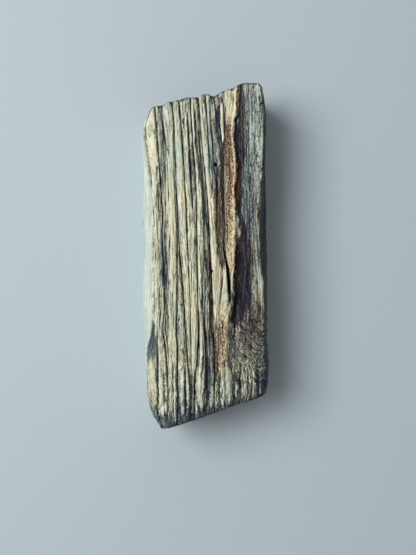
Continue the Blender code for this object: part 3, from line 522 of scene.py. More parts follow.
        (0.2, [(-19, 5, 1.5), (-31, 4.4, 1.3)]),
        (0.8, [(40, 5.8, 0.22), (35, 5.75, 0.3), (28, 5.6, 0.3)]),
        (0.5, [(-23, 7, 1), (-31, 7, 1.1)]),
        (0.5, [(38, 7, 0.9), (28, 7.2, 1.4), (14, 7.2, 1.4), (7, 7, 1.2)]),
        (0.6, [(-35, 8.5, 0.5), (-41, 8.4, 0.4)]),
        (0.9, [(-34.5, 9, 0.9), (-37, 9.6, 1.4), (-39.5, 9, 0.8)]),
        (0.4, [(17, 10.8, 0.5), (13, 10.9, 0.6)]), (0.7, [(-14, 11.2, 0.6), (-22, 11, 1.5)]),
        (0.3, [(-20, 11.5, 5), (-26, 11.5, 4.5)]),
        (0.35, [(30, 11.4, 0.7), (22, 11.4, 0.9), (6, 12, 1.5)]),
        (0.35, [(-19, 12, 4.5), (-32, 13, 4.5)]), (0.9, [(-36, 12.6, 0.35), (-41, 12.7, 0.4)]),
        # Over the right shoulder, painted shade where the face falls away from the light.
        (0.35, [(22, 12.8, 1.6), (5, 14, 2), (-12, 13.5, 2.4)]),
        (0.4, [(47, 13, 2), (34, 13.3, 2), (10, 13.8, 2.6), (-5, 14, 2.6), (-18, 14.5, 2.6)]),
        (0.65, [(-12.5, 13.8, 0.9), (-15, 13.8, 1.3), (-20, 13.8, 1.3)]),
        (0.5, [(12, 15, 1), (3, 15, 1.1), (-2, 14.6, 1.6)]),
        (0.45, [(-12, 15.3, 1.4), (-18, 15.5, 1.5)]),
        (0.4, [(0, 15.6, 1), (-18, 15.8, 1.2), (-36, 15.4, 1)]),
        (0.5, [(-34, 16.3, 1.2), (-39, 16.4, 1.3)]), (0.5, [(-31, 17, 0.8), (-41, 16.4, 1.2)]),
        (0.6, [(24, 17.2, 0.7), (15, 17, 0.9), (0, 17.2, 0.9)]),
        (0.4, [(30, 17.5, 1.2), (5, 17, 1.4), (-5, 17.2, 0.8)]),
    ],
    "brown": [
        (0.25, [(-31, -15.3, 1.2), (-42, -15.2, 1.2)]),
        (0.4, [(16, -13.9, 0.4), (10, -13.8, 0.5), (5, -14.6, 0.3), (-8, -14.4, 0.3)]),
        (0.7, [(18, -5.5, 0.2), (12, -5.3, 0.2)]), (0.6, [(-10, -4.1, 0.4), (-14, -4, 0.4)]),
        (0.5, [(32, -3, 0.3), (26, -2.5, 0.3)]), (0.6, [(46, -1.3, 0.5), (39, -0.9, 0.4)]),
        (0.7, [(1, 0.8, 0.5), (-6, 1.2, 0.9), (-12, 1.6, 0.8), (-18, 1.7, 0.9), (-22, 1.6, 0.9)]),
        (0.6, [(-8, 1.5, 0.6), (-16, 1.7, 0.7), (-24, 1.9, 0.7)]),
        (0.2, [(-2, 3.2, 1), (-10, 4.6, 2.4), (-15, 5, 2.4)]),
        (0.9, [(24, 4.4, 0.9), (12, 4.4, 1.8), (4, 4.5, 1.6)]),
        (0.9, [(0, 5.2, 0.25), (-6, 4.9, 0.25), (-12, 4.5, 0.25), (-16, 4.2, 0.2)]),
        (0.6, [(3, 4.6, 0.9), (-2, 5, 0.6)]),
        (0.6, [(4, 13.2, 0.8), (0, 13.3, 0.7), (-9, 13, 0.6)]),
        (0.8, [(-31, 14.6, 0.5), (-35, 14.8, 0.5)]),
        (0.8, [(-12, 15, 1), (-17, 15, 1.2), (-22, 14.8, 1.3)]),
    ],
    "slate": [
        (0.9, [(-21, -14.9, 0.5), (-24, -15.2, 1.4), (-28, -15.5, 1.6)]),
        (0.7, [(-45, -15, 1.5), (-49, -13.8, 1.5)]),
        (0.6, [(45, -14.2, 0.3), (38, -13.7, 0.3), (28, -13, 0.3), (20, -12.6, 0.3)]),
        (0.9, [(7, -12.3, 1.1), (0, -11.9, 1), (-7, -11.7, 0.5)]),
        (0.6, [(34, -9, 0.3), (24, -8.1, 0.4), (13, -7.8, 0.3)]),
        (0.7, [(-45, -5.5, 6.5), (-49, -9, 5)]),
        (0.6, [(42, -6.8, 0.4), (34, -6.4, 0.4), (24, -5.4, 0.4)]),
        (0.25, [(46, -5, 9), (20, -4, 9)]), (0.4, [(10, -0.8, 0.6), (0, -0.7, 0.6)]),
        (0.5, [(43, 0.9, 1.2), (34, 1.6, 1.5), (24, 2.6, 1.4)]),
        (0.8, [(47, 12.8, 1.4), (38, 13.4, 1.5), (30, 13, 1.4), (22, 11.8, 1.6), (13, 11.5, 1.8),
               (9, 11.5, 1.2)]),
        (0.6, [(50, 14.4, 3), (36, 14.2, 3.2), (20, 14, 3), (7, 14.6, 2.2)]),
        (0.6, [(6, 15.5, 0.8), (-2, 15.6, 0.9), (-10, 16, 0.8)]),
        (0.9, [(-26, 16, 0.8), (-29, 16, 0.7)]), (0.8, [(-33, 16.5, 1.2), (-39, 16.3, 1.5)]),
    ],
    "resin": [
        (1, [(-20, 4.7, 2.2), (-26, 4.5, 2.1), (-31, 4.4, 1.2)]),
        (0.6, [(-14, 6.4, 0.5), (-17, 5.6, 1.4), (-20, 5.2, 1.6)]),
        (1, [(38.5, 6.6, 1), (36, 6.6, 1.1), (30, 6.9, 1.4), (24, 7, 1.5), (18, 7.1, 1.4),
             (2, 7, 1.3), (-4, 7.5, 0.6)]),
        (0.8, [(35, 8, 0.4), (32, 8.4, 0.5), (27, 8.8, 0.5), (20, 8.4, 0.4), (4, 8.2, 0.4)]),
    ],
    "rust": [
        (0.6, [(-3, 3.1, 0.15), (-5, 3.2, 0.15)]),
        (0.25, [(-18, 3.6, 0.5), (-24, 3.6, 0.6), (-29, 3.9, 0.5)]),
        (0.2, [(36, 6.8, 0.5), (30, 6.8, 0.6), (24, 7.4, 0.7), (18, 7.4, 0.6)]),
        (0.5, [(38, 8.6, 0.2), (35, 8.5, 0.2)]), (0.4, [(28, 8.9, 0.4), (25, 9.1, 0.4)]),
        (1, [(22, 9, 0.5), (19.5, 8.9, 0.7), (16.5, 9.1, 0.7)]),
        (0.8, [(6.5, 9, 0.4), (5, 9, 0.3)]), (0.8, [(47, 9.2, 0.25), (43, 9.1, 0.25)]),
    ],
    "char_and_shade": [
        (0.9, [(-9, 8.9, 0.4), (-13, 8.1, 0.6), (-18, 7.9, 0.6)]),
        (1, [(48, 10.3, 0.9), (41, 10.6, 1.2), (36, 9.9, 1.9), (30, 10.1, 1.7), (24, 9.9, 1.1),
             (18, 9.8, 1), (13, 9.7, 0.7), (9, 11.2, 0.8), (6, 11, 1)]),
        (1, [(5, 11, 1.7), (0, 11, 2.4), (-6, 10.8, 2.6), (-12, 10.6, 3), (-16, 10.1, 2.8),
             (-19, 8.4, 1.3)]),
    ],
    "smooth": [
        (0.6, [(43, -15.6, 0.8), (38, -16, 1.2), (26, -15, 1), (19, -14.6, 0.8)]),
        (0.7, [(-20, -14.8, 1), (-26, -15.4, 1.5), (-38, -15.4, 1.5), (-44, -15, 1)]),
        (0.6, [(43, -12.4, 1.3), (30, -11.9, 1.4), (20, -11.2, 1.4)]),
        (0.6, [(41, 1.2, 1.3), (33, 1.8, 1.6), (24, 2.5, 1.4)]),
    ],
    "curly": [
        (1, [(-19, 11.5, 3.5), (-24, 11.5, 5.5), (-30, 11.5, 5.5), (-35, 12, 4.5)]),
    ],
    "shaggy": [
        (1, [(27, 4.4, 1.4), (12, 4.3, 1.9), (2, 4.6, 1.6)]),
        (0.7, [(-20, 4.8, 1.6), (-30, 4.8, 1.5)]),
        (1, [(49, 13.5, 3.5), (30, 13.5, 4), (10, 13, 4), (-8, 13.5, 4), (-20, 13.5, 4)]),
    ],
}

# Short straight strokes of the same kinds: (strength, from y, down to y, x, half width).
DABS = {
    "pale": [
        (0.3, 17, 13, -10, 1.8), (0.4, -3, -7, -9, 0.9), (0.35, 42, 38, -5, 0.9),
        (0.35, 2, -2, -1, 0.8), (0.4, -33, -37, -0.6, 1.3), (0.45, 42, 39, 1.2, 0.9),
        (0.35, 12, 8, 2.2, 1.5), (0.45, 7, 3, 3, 0.9), (0.4, 7, 3, 9, 0.8),
        (0.6, -39, -43, 9.1, 0.3), (0.25, -4, -11, 9.2, 0.8), (0.5, -19, -22, 9.2, 0.9),
        (0.35, -33, -37, 13, 0.9),
    ],
    "dark_wood_and_shade": [
        (0.3, 37, 33, -13, 0.9), (0.17, 12, 9, -13, 0.9), (0.5, -28, -32, -13, 1),
        (0.5, -3, -7, -11, 0.9), (0.25, -3, -12, -7, 0.9), (0.4, -22, -27, -7, 0.9),
        (0.4, -44, -46, -7, 0.9), (0.5, -38, -42, -1.6, 1.5), (0.25, 42, 38, -1, 0.8),
        (0.5, -27, -32, -1, 1), (0.45, 27, 12, 5, 0.9), (0.5, -8, -12, 5, 1),
        (0.35, 17, 13, 10.6, 1.2), (0.25, -36, -41, 11, 0.9), (0.4, 27, 23, 13, 1),
        (0.5, -28, -32, 13, 1), (0.3, -22, -31, 15.2, 1), (0.4, -33, -37, 15.2, 0.9),
        (0.35, -22, -27, 16, 1.5), (0.3, 49, 25, 17, 0.9),
    ],
    "brown": [
        (0.4, 47, 40, 6.8, 1.4), (0.5, -19, -25, 13, 3),
    ],
    "slate": [
        (0.25, -34, -46, 0, 17),
    ],
    "rust": [
        (0.7, -5, -7, 8.3, 0.25), (0.8, 1, -1, 8.6, 0.3),
    ],
}


def linear(code):
    """A hex sRGB colour as linear red, green and blue with full alpha."""
    parts = np.array([int(code[i:i + 2], 16) / 255 for i in (1, 3, 5)])
    parts = np.where(parts <= 0.04045, parts / 12.92, ((parts + 0.055) / 1.055) ** 2.4)
    return (*parts, 1.0)


def run_through(stations, at):
    """A smooth curve through stations of (place, value), read at many places, with no overshoot."""
    place, value = np.array(sorted(stations), float).T
    step = np.diff(place)
    slope = np.diff(value) / step
    product = slope[:-1] * slope[1:]
    total = slope[:-1] + slope[1:]
    inner = np.where(product > 0, 2 * product / np.where(total == 0, 1, total), 0)
    tangent = np.concatenate([slope[:1], inner, slope[-1:]])
    at = np.clip(at, place[0], place[-1])
    left = np.clip(np.searchsorted(place, at, side="right") - 1, 0, len(step) - 1)
    t = (at - place[left]) / step[left]
    return (
        value[left] * (1 + 2 * t) * (1 - t) ** 2
        + value[left + 1] * t**2 * (3 - 2 * t)
        + tangent[left] * step[left] * t * (1 - t) ** 2
        - tangent[left + 1] * step[left] * t**2 * (1 - t)
    )


def line_values(column, y):
    """Each grain line's x (column 1) or height (column 2) at the lengthwise places y."""
    return np.array(
        [run_through([(s[0], s[column]) for s in line], y) for line in GRAIN_LINES.values()]
    )


def middle_places():
    """Each grain line's x halfway along the stick, which stands for it in the patterns."""
    return line_values(1, np.zeros(1))[:, 0]


def ease(t):
    """A smooth rise from 0 to 1 as t goes from 0 to 1."""
    t = np.clip(t, 0, 1)
    return t * t * (3 - 2 * t)


def grain(x, y, across, along, seed, depth=0.0):
    """Noise from -1 to 1 whose spots are across by along by across millimetres."""
    spots = np.stack(np.broadcast_arrays(x / across + seed, y / along, depth / across - seed), -1)
    values = [noise.noise(spot) for spot in spots.reshape(-1, 3).tolist()]
    return np.reshape(values, spots.shape[:-1])


def covered(stations, x, y, end_fade):
    """1 on the line through stations of (y, x, half width), fading to 0 at its edges and ends."""
    centre = run_through([(s[0], s[1]) for s in stations], y)
    half = run_through([(s[0], s[2]) for s in stations], y)
    first, last = min(s[0] for s in stations), max(s[0] for s in stations)
    past_end = np.maximum(np.maximum(first - y, y - last), 0)
    reach = np.hypot((x - centre) / half, past_end / end_fade)
    return 1 - ease((reach - STROKE_CORE) / STROKE_FADE)


def painted(kind, x, y, end_fade=2.0):
    """How strongly the strokes and dabs of one kind cover each point, from 0 to 1."""
    left = np.ones(np.shape(x))
    dabs = [(dab[0], [(place, *dab[3:]) for place in dab[1:3]]) for dab in DABS.get(kind, ())]
    for strength, stations in STROKES[kind] + dabs:
        left *= 1 - strength * covered(stations, x, y, end_fade)
    return 1 - left


def either_side(values, line):
    """Each point's value on the grain line to its left and on the next one to its right."""
    points = np.arange(len(line))
    return values[line, points], values[line + 1, points]


def weathered_face(line_number, y, sizes):
    """x and height of the weathered face's main relief, for a fractional line number at y."""
    line = np.clip(np.floor(line_number).astype(int), 0, len(GRAIN_LINES) - 2)
    share = line_number - line
    x_left, x_right = either_side(line_values(1, y), line)
    z_left, z_right = either_side(line_values(2, y), line)
    rise = share ** (1 / sizes.rib_flatness)
    fall = 1 - (1 - share) ** (1 / sizes.rib_flatness)
    height = z_left + (z_right - z_left) * np.where(z_right > z_left, rise, fall)
    return x_left + (x_right - x_left) * share, sizes.height / MM + height


def ragged_edges(line_x, y):
    """How far sideways the ribs' edges stray, most of all beside the resin and at the lower end."""
    beside_resin = np.exp(-(((line_x - CRUMBLING_X) / 0.9) ** 2))
    crumbly = 1 + 3.0 * beside_resin + 1.5 * ease((FRAYED_Y - y) / 14)
    waves = grain(line_x, y, 1.1, 1.6, 5) + 0.6 * grain(line_x, y, 0.7, 0.7, 9)
    return RAGGED * crumbly * waves


def wall_x(rim, outline, up, sizes):
    """x of a side wall at the share up of its height: foot, widest level, then the rim."""
    foot = outline - np.sign(outline) * sizes.foot_inset / MM
    mid = sizes.widest_level
    return (
        foot * (up - mid) * (up - 1) / mid
        + outline * up * (up - 1) / (mid * (mid - 1))
        + rim * up * (up - mid) / (1 - mid)
    )


def edge_first(count, edge):
    """Shares of a size at the grid's places, with the first and last few inside its worn edge."""
    marks = [0, EDGE_STEPS, count - EDGE_STEPS, count]
    return np.interp(np.arange(count + 1), marks, [0, edge, 1 - edge, 1])


def worn_edges(share, block, radius):
    """Pulls the points of a unit block of the size block, given as shares, onto rounded edges."""
    half = np.array(block) / 2
    point = (share * 2 - 1) * half
    core = np.clip(point, radius - half, half - radius)
    out = point - core
    reach = np.linalg.norm(out, axis=1, keepdims=True)
    point = core + out * radius / np.maximum(reach, radius)
    return (point / half + 1) / 2


def column_lines():
    """The fractional grain-line number of each column of the grid."""
    gaps = np.quantile(np.diff(line_values(1, np.linspace(-45, 45, 19)), axis=0), 0.8, axis=1)
    steps = np.maximum(FEWEST_COLUMNS, np.round(gaps * COLUMNS_PER_MM)).astype(int)
    return np.concatenate([g + np.arange(n) / n for g, n in enumerate(steps)] + [[len(steps)]])


def gridded_block(counts):
    """A unit block with its faces cut into a grid, from -0.5 to 0.5 each way."""
    bm = bmesh.new()
    bmesh.ops.create_cube(bm, size=1.0)
    for axis, steps in enumerate(counts):
        uncut = [e for e in bm.edges if abs(e.verts[0].co[axis] - e.verts[1].co[axis]) > 0.9]
        bmesh.ops.subdivide_edges(bm, edges=uncut, cuts=steps - 1)
    return bm


def thin_underside(bm):
    """Joins the rows of the block's underside in groups, because it needs less detail."""
    extra = []
    for edge in bm.edges:
        a, b = (v.co for v in edge.verts)
        row = round((a.y + 0.5) * ROWS)
        inside = 0 < row < ROWS and row % UNDERSIDE_ROW_STEP
        if inside and a.z < -0.49 and b.z < -0.49 and abs(a.y - b.y) < 0.1 / ROWS:
            extra.append(edge)
    bmesh.ops.dissolve_edges(bm, edges=extra, use_verts=True)


def furrows(value, width):
    """Narrow furrows, from 0 to 1, where a noise value passes through zero."""
    return np.clip(1 - np.abs(value) / width, 0, 1)


def across_grain(line_x, x, y):
    """Where each point lies across the grain, in millimetres. The grain wanders a little, and
    curls round the lower end of the resin vein."""
    wander = 0.35 * grain(line_x, y, 3.0, 11.0, 3)
    slant = 1.1 * np.clip(y + 19, -17, 0) * ease((x - 6) / 3)
    swirl = 0.6 * (x - 11) + 1.5 * grain(x, y, 2.2, 3.4, 7)
    swirl += 1.3 * grain(x, y, 0.9, 1.4, 13)
    return line_x + wander + slant + painted("curly", x, y) * swirl


def face_detail(line_x, x, y):
    """Height of the fine relief of the weathered face, mostly below its main ridges."""
    smooth = painted("smooth", x, y, 3.0)
    shaggy = painted("shaggy", x, y, 4.0)
    curly = painted("curly", x, y)
    resin = painted("resin", x, y)
    across = across_grain(line_x, x, y)
    coarse = furrows(grain(across, y, 1.3, 20.0, 11), 0.13)
    fine = furrows(grain(across, y, 0.55, 9.0, 19), 0.22)
    lumps = grain(across, y, 0.42, 6.0, 23)
    tufts = grain(across, y, 0.42, 1.4, 29)
    frayed = furrows(grain(across, y, 0.9, 7.0, 37), 0.25) * ease((FRAYED_Y - y) / 12)
    grit = grain(x, y, 0.45, 0.6, 31)
    rough = 1 - 0.85 * smooth
    furrow = LONG_FURROW * coarse + SHORT_FURROW * fine
    height = -rough * (1 - 0.5 * shaggy) * furrow + LUMP * rough * lumps
    height -= FRAYED_FURROW * rough * (1 - shaggy) * (1 - curly) * frayed
    height += (SHAGGY_TUFT * shaggy + CURLY_TUFT * curly) * np.minimum(tufts, TUFT_TOP)
    height += resin * (RESIN_GRAIN * grit - RESIN_SINK)
    for name, line in GRAIN_LINES.items():
        if "groove" in name:
            crack = covered([(s[0], s[1], 0.2) for s in line], x, y, 1.0)
            varied = GROOVE_VARIES * grain(0, y, 1.0, 5.0, len(name))
            height -= (GROOVE_CRACK + varied) * crack
    for depth, stations in CUTS:
        height -= depth * covered([(s[0], s[1], 1.3 * s[2]) for s in stations], x, y, 1.5)
    for pit_x, pit_y, radius, depth in PITS:
        height -= depth * (1 - ease(np.hypot(x - pit_x, y - pit_y) / radius - 0.2))
    return height


def wall_detail(y, z, seed):
    """How far the split side walls lie inside their main shape, in millimetres."""
    ledges = grain(z, y, 3.4, 42.0, seed)
    strands = furrows(grain(z, y, 1.5, 24.0, seed + 5), 0.2)
    fuzz = grain(z, y, 0.9, 6.0, seed + 9)
    relief = WALL_LEDGE * ledges + WALL_STRAND * strands + WALL_FUZZ * fuzz
    return np.maximum(0.25 + relief, 0.02)


def end_detail(x, z, seed):
    """How far the sawn ends lie inside their main shape, in millimetres."""
    saw = np.sin((z * 0.95 + x * 0.3 + 0.6 * grain(x, z, 9.0, 9.0, seed)) * 5.5)
    torn = np.maximum(grain(x, z, 1.1, 3.0, seed + 3), 0)
    rings = furrows(grain(x, z, 1.6, 30.0, seed + 8), 0.14)
    return 0.12 + SAW_MARK * saw + TORN_END * torn + END_RING * rings


def skin_shape(place, lines, sizes):
    """Where each grid point of the skin lies, in millimetres, and its share of the height."""
    height, radius = sizes.height / MM, sizes.edge_radius / MM
    nominal = middle_places()
    numbers = np.arange(len(nominal))
    block = (nominal[-1] - nominal[0], UPPER_END[-1][1] - LOWER_END[0][1], height)
    across = (np.interp(lines, numbers, nominal) - nominal[0]) / block[0]
    along = edge_first(ROWS, radius / block[1])
    up = edge_first(LEVELS, radius / block[2])
    share = np.stack([across[place[:, 0]], along[place[:, 1]], up[place[:, 2]]], 1)
    across, along, up = worn_edges(share, block, radius).T
    x = nominal[0] + across * block[0]
    line_number = np.interp(x, nominal, numbers)
    line_x = np.interp(line_number, numbers, nominal)
    lean = sizes.end_lean / MM * (1 - up)
    for _ in range(FIT_PASSES):
        lower = run_through(LOWER_END, x) + lean
        upper = run_through(UPPER_END, x) - lean
        y = lower + (upper - lower) * along
        face_x, face_z = weathered_face(line_number, y, sizes)
        face_x += ragged_edges(line_x, y)
        rim_left, rim_right = line_values(1, y)[[0, -1]]
        left = wall_x(rim_left, run_through(LEFT_OUTLINE, y), up, sizes)
        right = wall_x(rim_right, run_through(RIGHT_OUTLINE, y), up, sizes)
        x = left + (right - left) * (face_x - rim_left) / (rim_right - rim_left)
    return x, y, face_z, up, line_x


def face_grid(values, place):
    """The values of the points on the weathered face, as a grid of columns by rows."""
    column, row, level = place.T
    face = level == LEVELS
    grid = np.zeros((column.max() + 1, ROWS + 1))
    grid[column[face], row[face]] = values[face]
    return grid


def skin_points(place, lines, sizes):
    """The finished skin: points in millimetres, with each one's grain line and share up."""
    x, y, face_z, up, line_x = skin_shape(place, lines, sizes)
    column, row, level = place.T
    detail = face_detail(*(face_grid(values, place) for values in (line_x, x, y)))
    z = (face_z + detail[column, row]) * up

    body = ease(up * 6) * ease((1 - up) * 5)
    for side, seed in ((0, 41), (column.max(), 53)):
        on = column == side
        inward = wall_detail(y[on], z[on], seed) * body[on]
        x[on] += inward if side == 0 else -inward
    for end, seed in ((0, 61), (ROWS, 73)):
        on = row == end
        inward = end_detail(x[on], z[on], seed) * ease((1 - up[on]) * 8)
        y[on] += inward if end == 0 else -inward
    under = level == 0
    half_width, half_length = GROOVED_UNDERSIDE
    inset = ease(np.minimum(half_width - np.abs(x[under]), half_length - np.abs(y[under])) / 3)
    grooves = furrows(grain(x[under], y[under], 2.2, 60.0, 83), 0.25)
    z[under] += UNDERSIDE_GROOVE * grooves * inset
    points = np.clip(np.stack([x, y, z], 1), *(np.array(CAD_BOX) / MM))
    return points, line_x, up


def spread_max(grid, reach):
    """Each grid point's highest neighbour within reach columns on either side."""
    padded = np.pad(grid, ((reach, reach), (0, 0)), mode="edge")
    return np.max([padded[i:i + len(grid)] for i in range(2 * reach + 1)], axis=0)


def blurred(grid, reach):
    """Each grid point's mean over reach columns on either side."""
    padded = np.pad(grid, ((reach, reach), (0, 0)), mode="edge")
    return np.mean([padded[i:i + len(grid)] for i in range(2 * reach + 1)], axis=0)


def face_finish(line_x, x, y, z):
    """Tone and stains of the weathered face, each on the face's own grid."""
    ragged_x = x + 0.4 * grain(x, y, 0.7, 2.4, 101)
    ragged_y = y + 3.0 * grain(line_x, y, 0.5, 6.0, 107)
    kinds = ("pale", "dark_wood_and_shade", "brown", "slate", "resin", "rust", "char_and_shade", "shaggy")
    finish = {kind: painted(kind, ragged_x, ragged_y) for kind in kinds}
    # Painted shade deepens with the depth below the nearest crest and in creases; points that stand
    # above their neighbours get painted highlight.
    crest = blurred(spread_max(z, CREST_REACH), CREST_BLUR)
    depth = np.clip(crest - z, 0, 3)
    bend = blurred(z, EDGE_BLUR) - z
    tone = CREST_TONE - HOLLOW_SHADE * depth**0.75 - EDGE_LIGHT_AND_SHADE * np.clip(bend, -0.12, 0.35)
    tone += BAND_LIGHT * grain(line_x, y, 0.8, 12.0, 113)
    for kind, light in STROKE_LIGHTS:
        tone += light * finish[kind]
    lower_gap = y - run_through(LOWER_END, x)
    upper_gap = run_through(UPPER_END, x) - y
    patchy = 1 + 0.8 * grain(x, y, 0.6, 3.5, 127)
    stained = ease(1.5 - 1.3 * lower_gap / (patchy * np.interp(x, *STAIN_REACH)))
    tone += STAIN_STRENGTH * stained * (np.interp(x, *STAIN_TONES) - tone)
    tone -= LOWER_CUT_SHADE * np.clip(1 - lower_gap, 0, 1)
    tone -= UPPER_CUT_SHADE * np.clip(1 - upper_gap / (UPPER_CUT_WIDTH * patchy), 0, 1)
    for pit_x, pit_y, radius, depth in PITS:
        tone -= PIT_SHADE * depth * (1 - ease(np.hypot(x - pit_x, y - pit_y) / radius - 0.3))
    finish["tone"] = np.clip(tone, 0, 1.1)
    calm = {
        "worn": np.maximum(painted("smooth", x, y, 3.0), WORN_BY_PALE * finish.pop("pale")),
        "shaggy": finish["shaggy"], "dark_wood_and_shade": finish.pop("dark_wood_and_shade"), "stained": stained,
    }
    finish["rough"] = np.prod([1 - CALMING[name] * calm[name] for name in CALMING], axis=0)
    return finish


def skin_finish(place, points, line_x, up):
    """Every grid point's finish: the face's own, fading into that of the walls and the ends."""
    column, row, level = place.T
    x, y, z = points.T
    grids = face_finish(*(face_grid(values, place) for values in (line_x, x, y, z)))
    on_face = ease(1 - (1 - up) * FACE_FADE)
    finish = {kind: grid[column, row] * on_face for kind, grid in grids.items()}
    left = (column == 0) & (level > 0)
    right = (column == column.max()) & (level > 0)
    end = ((row == 0) | (row == ROWS)) & (level > 0)
    plain = UNDERSIDE_TONE + 0.2 * grain(x, y, 2.0, 25.0, 131, z)
    plain = np.where(left, LEFT_WALL_TONE + 0.1 * grain(x, y, 1.5, 30.0, 137, z), plain)
    # The right wall grows darker towards its top as painted shade, with streaks at random.
    shaded_right_wall = RIGHT_WALL_TONE - 0.25 * ease((up - 0.3) * 3) + 0.25 * grain(z, y, 4.0, 40.0, 151)
    plain = np.where(right, shaded_right_wall + 0.2 * grain(z, y, 1.5, 20.0, 139), plain)
    plain = np.where(end, END_TONE + 0.2 * grain(x, z, 1.6, 30.0, 149), plain)
    off_face = 1 - on_face
    finish["tone"] += plain * off_face
    finish["rough"] += np.where(left, LEFT_WALL_PATTERN, OTHER_PATTERN) * off_face
    finish["bleached"] = left * off_face
    finish["end_grain"] = end * off_face
    return finish


def add(tree, kind, inputs=None, output=0, stops=(), **settings):
    """Adds a node, sets it, fills or joins its inputs and returns one of its outputs. A Mix node
    keeps its two colours on inputs 6 and 7 and gives the mixed one on output 2."""
    node = tree.nodes.new(kind)
    for name, value in settings.items():
        setattr(node, name, value)
    for name, value in (inputs or {}).items():
        if isinstance(value, bpy.types.NodeSocket):
            tree.links.new(value, node.inputs[name])
        else:
            node.inputs[name].default_value = value
    for index, (position, colour) in enumerate(stops):
        elements = node.color_ramp.elements
        if index == 0 or index == len(stops) - 1:
            element = elements[0 if index == 0 else -1]
            element.position = position
        else:
            element = elements.new(position)
        element.color = colour
    return node.outputs[output]


def new_material(name):
    """A material with its nodes on, and its node tree."""
    material = bpy.data.materials.new(name)
    material.use_nodes = True
    return material, material.node_tree


def finish_shader(tree, colour, roughness, bumps, depth):
    """Joins colour, roughness and bumps of a depth in metres to the material's own shader."""
    shader = tree.nodes["Principled BSDF"]
    inputs = {"Height": bumps, "Distance": depth, "Strength": 0.6}
    normal = add(tree, "ShaderNodeBump", inputs)
    tree.links.new(colour, shader.inputs["Base Color"])
    tree.links.new(roughness, shader.inputs["Roughness"])
    tree.links.new(normal, shader.inputs["Normal"])
    shader.inputs["Specular IOR Level"].default_value = 0.3


def weathered_palo_santo(colours):
    """Dry palo santo, split, sawn and left out in the weather: no shine, a washed-out crest on each
    rib with painted highlight on raised edges, painted shade in each furrow, fibres along the
    grain, and a vein of hardened golden resin."""
    material, tree = new_material("weathered_palo_santo")
    place = add(tree, "ShaderNodeAttribute", output="Vector", attribute_name="grain")
    pattern = {}
    for name, size, seed, detail in PATTERNS:
        inputs = {0: place, 1: tuple(1 / s for s in size), 2: (seed, seed, seed)}
        scaled = add(tree, "ShaderNodeVectorMath", inputs, operation="MULTIPLY_ADD")
        inputs = {"Vector": scaled, "Scale": 1.0, "Detail": detail, "Roughness": 0.55}
        pattern[name] = add(tree, "ShaderNodeTexNoise", inputs)
    for name, half_width in CHECKS:
        inputs = {0: pattern[name], 1: 0.5, 2: half_width}
        pattern[name] = add(tree, "ShaderNodeMath", inputs, operation="COMPARE")

    shaggy = add(tree, "ShaderNodeAttribute", output="Fac", attribute_name="shaggy")
    inputs = {0: pattern["fleck"], 1: FLECK_STRENGTH, 2: -0.5 * FLECK_STRENGTH}
    fleck = add(tree, "ShaderNodeMath", inputs, operation="MULTIPLY_ADD")
    texture = add(tree, "ShaderNodeMath", {0: fleck, 1: shaggy}, operation="MULTIPLY")
    for name, strength in STRENGTHS:
        inputs = {0: pattern[name], 1: strength, 2: texture}
        texture = add(tree, "ShaderNodeMath", inputs, operation="MULTIPLY_ADD")
    texture = add(tree, "ShaderNodeMath", {0: texture, 1: TEXTURE_MEAN}, operation="SUBTRACT")
    rough = add(tree, "ShaderNodeAttribute", output="Fac", attribute_name="rough")
    tone = add(tree, "ShaderNodeAttribute", output="Fac", attribute_name="tone")
    inputs = {0: texture, 1: rough, 2: tone}
    tone = add(tree, "ShaderNodeMath", inputs, operation="MULTIPLY_ADD", use_clamp=True)
    # The tone, painted shade and highlight included, picks a colour from furrow to crest.
    stops = (
        (0.0, tuple(colours.furrow)), (0.25, tuple(colours.shade)), (0.5, tuple(colours.grey)),
        (0.72, tuple(colours.pale)), (0.95, tuple(colours.crest)),
    )
    colour = add(tree, "ShaderNodeValToRGB", {"Fac": tone}, stops=stops)
    inputs = {0: pattern["blotch"], 1: BLOTCH_SPREAD, 2: 0.5 - 0.5 * BLOTCH_SPREAD}
    warmth = add(tree, "ShaderNodeMath", inputs, operation="MULTIPLY_ADD", use_clamp=True)
    inputs = {0: warmth, 6: linear("#ebf7f2"), 7: linear("#fff7ea")}
    tint = add(tree, "ShaderNodeMix", inputs, 2, data_type="RGBA")
    inputs = {0: 1.0, 6: colour, 7: tint}
    colour = add(tree, "ShaderNodeMix", inputs, 2, data_type="RGBA", blend_type="MULTIPLY")

    inputs = {0: pattern["grit"], 1: GRIT_SPREAD, 2: -0.5 * GRIT_SPREAD - GRIT_SHADE}
    sparkle = add(tree, "ShaderNodeMath", inputs, operation="MULTIPLY_ADD")
    golden = add(tree, "ShaderNodeMath", {0: sparkle, 1: tone}, use_clamp=True)

    even = add(tree, "ShaderNodeMath", {0: tone, 1: tone}, operation="MULTIPLY")
    for name, dark, light, strength in STAINS:
        inputs = {0: golden if name == "resin" else even, 6: linear(dark), 7: linear(light)}
        stain = add(tree, "ShaderNodeMix", inputs, 2, data_type="RGBA")
        mask = add(tree, "ShaderNodeAttribute", output="Fac", attribute_name=name)
        amount = add(tree, "ShaderNodeMath", {0: mask, 1: strength}, operation="MULTIPLY")
        inputs = {0: amount, 6: colour, 7: stain}
        colour = add(tree, "ShaderNodeMix", inputs, 2, data_type="RGBA")

    resin = add(tree, "ShaderNodeAttribute", output="Fac", attribute_name="resin")
    inputs = {0: resin, 1: RESIN_ROUGHNESS - WOOD_ROUGHNESS, 2: WOOD_ROUGHNESS}
    roughness = add(tree, "ShaderNodeMath", inputs, operation="MULTIPLY_ADD")
    inputs = {0: pattern["fibre"], 1: pattern["pore"]}
    bumps = add(tree, "ShaderNodeMath", inputs, operation="ADD")
    finish_shader(tree, colour, roughness, bumps, 0.25 * MM)
    return material


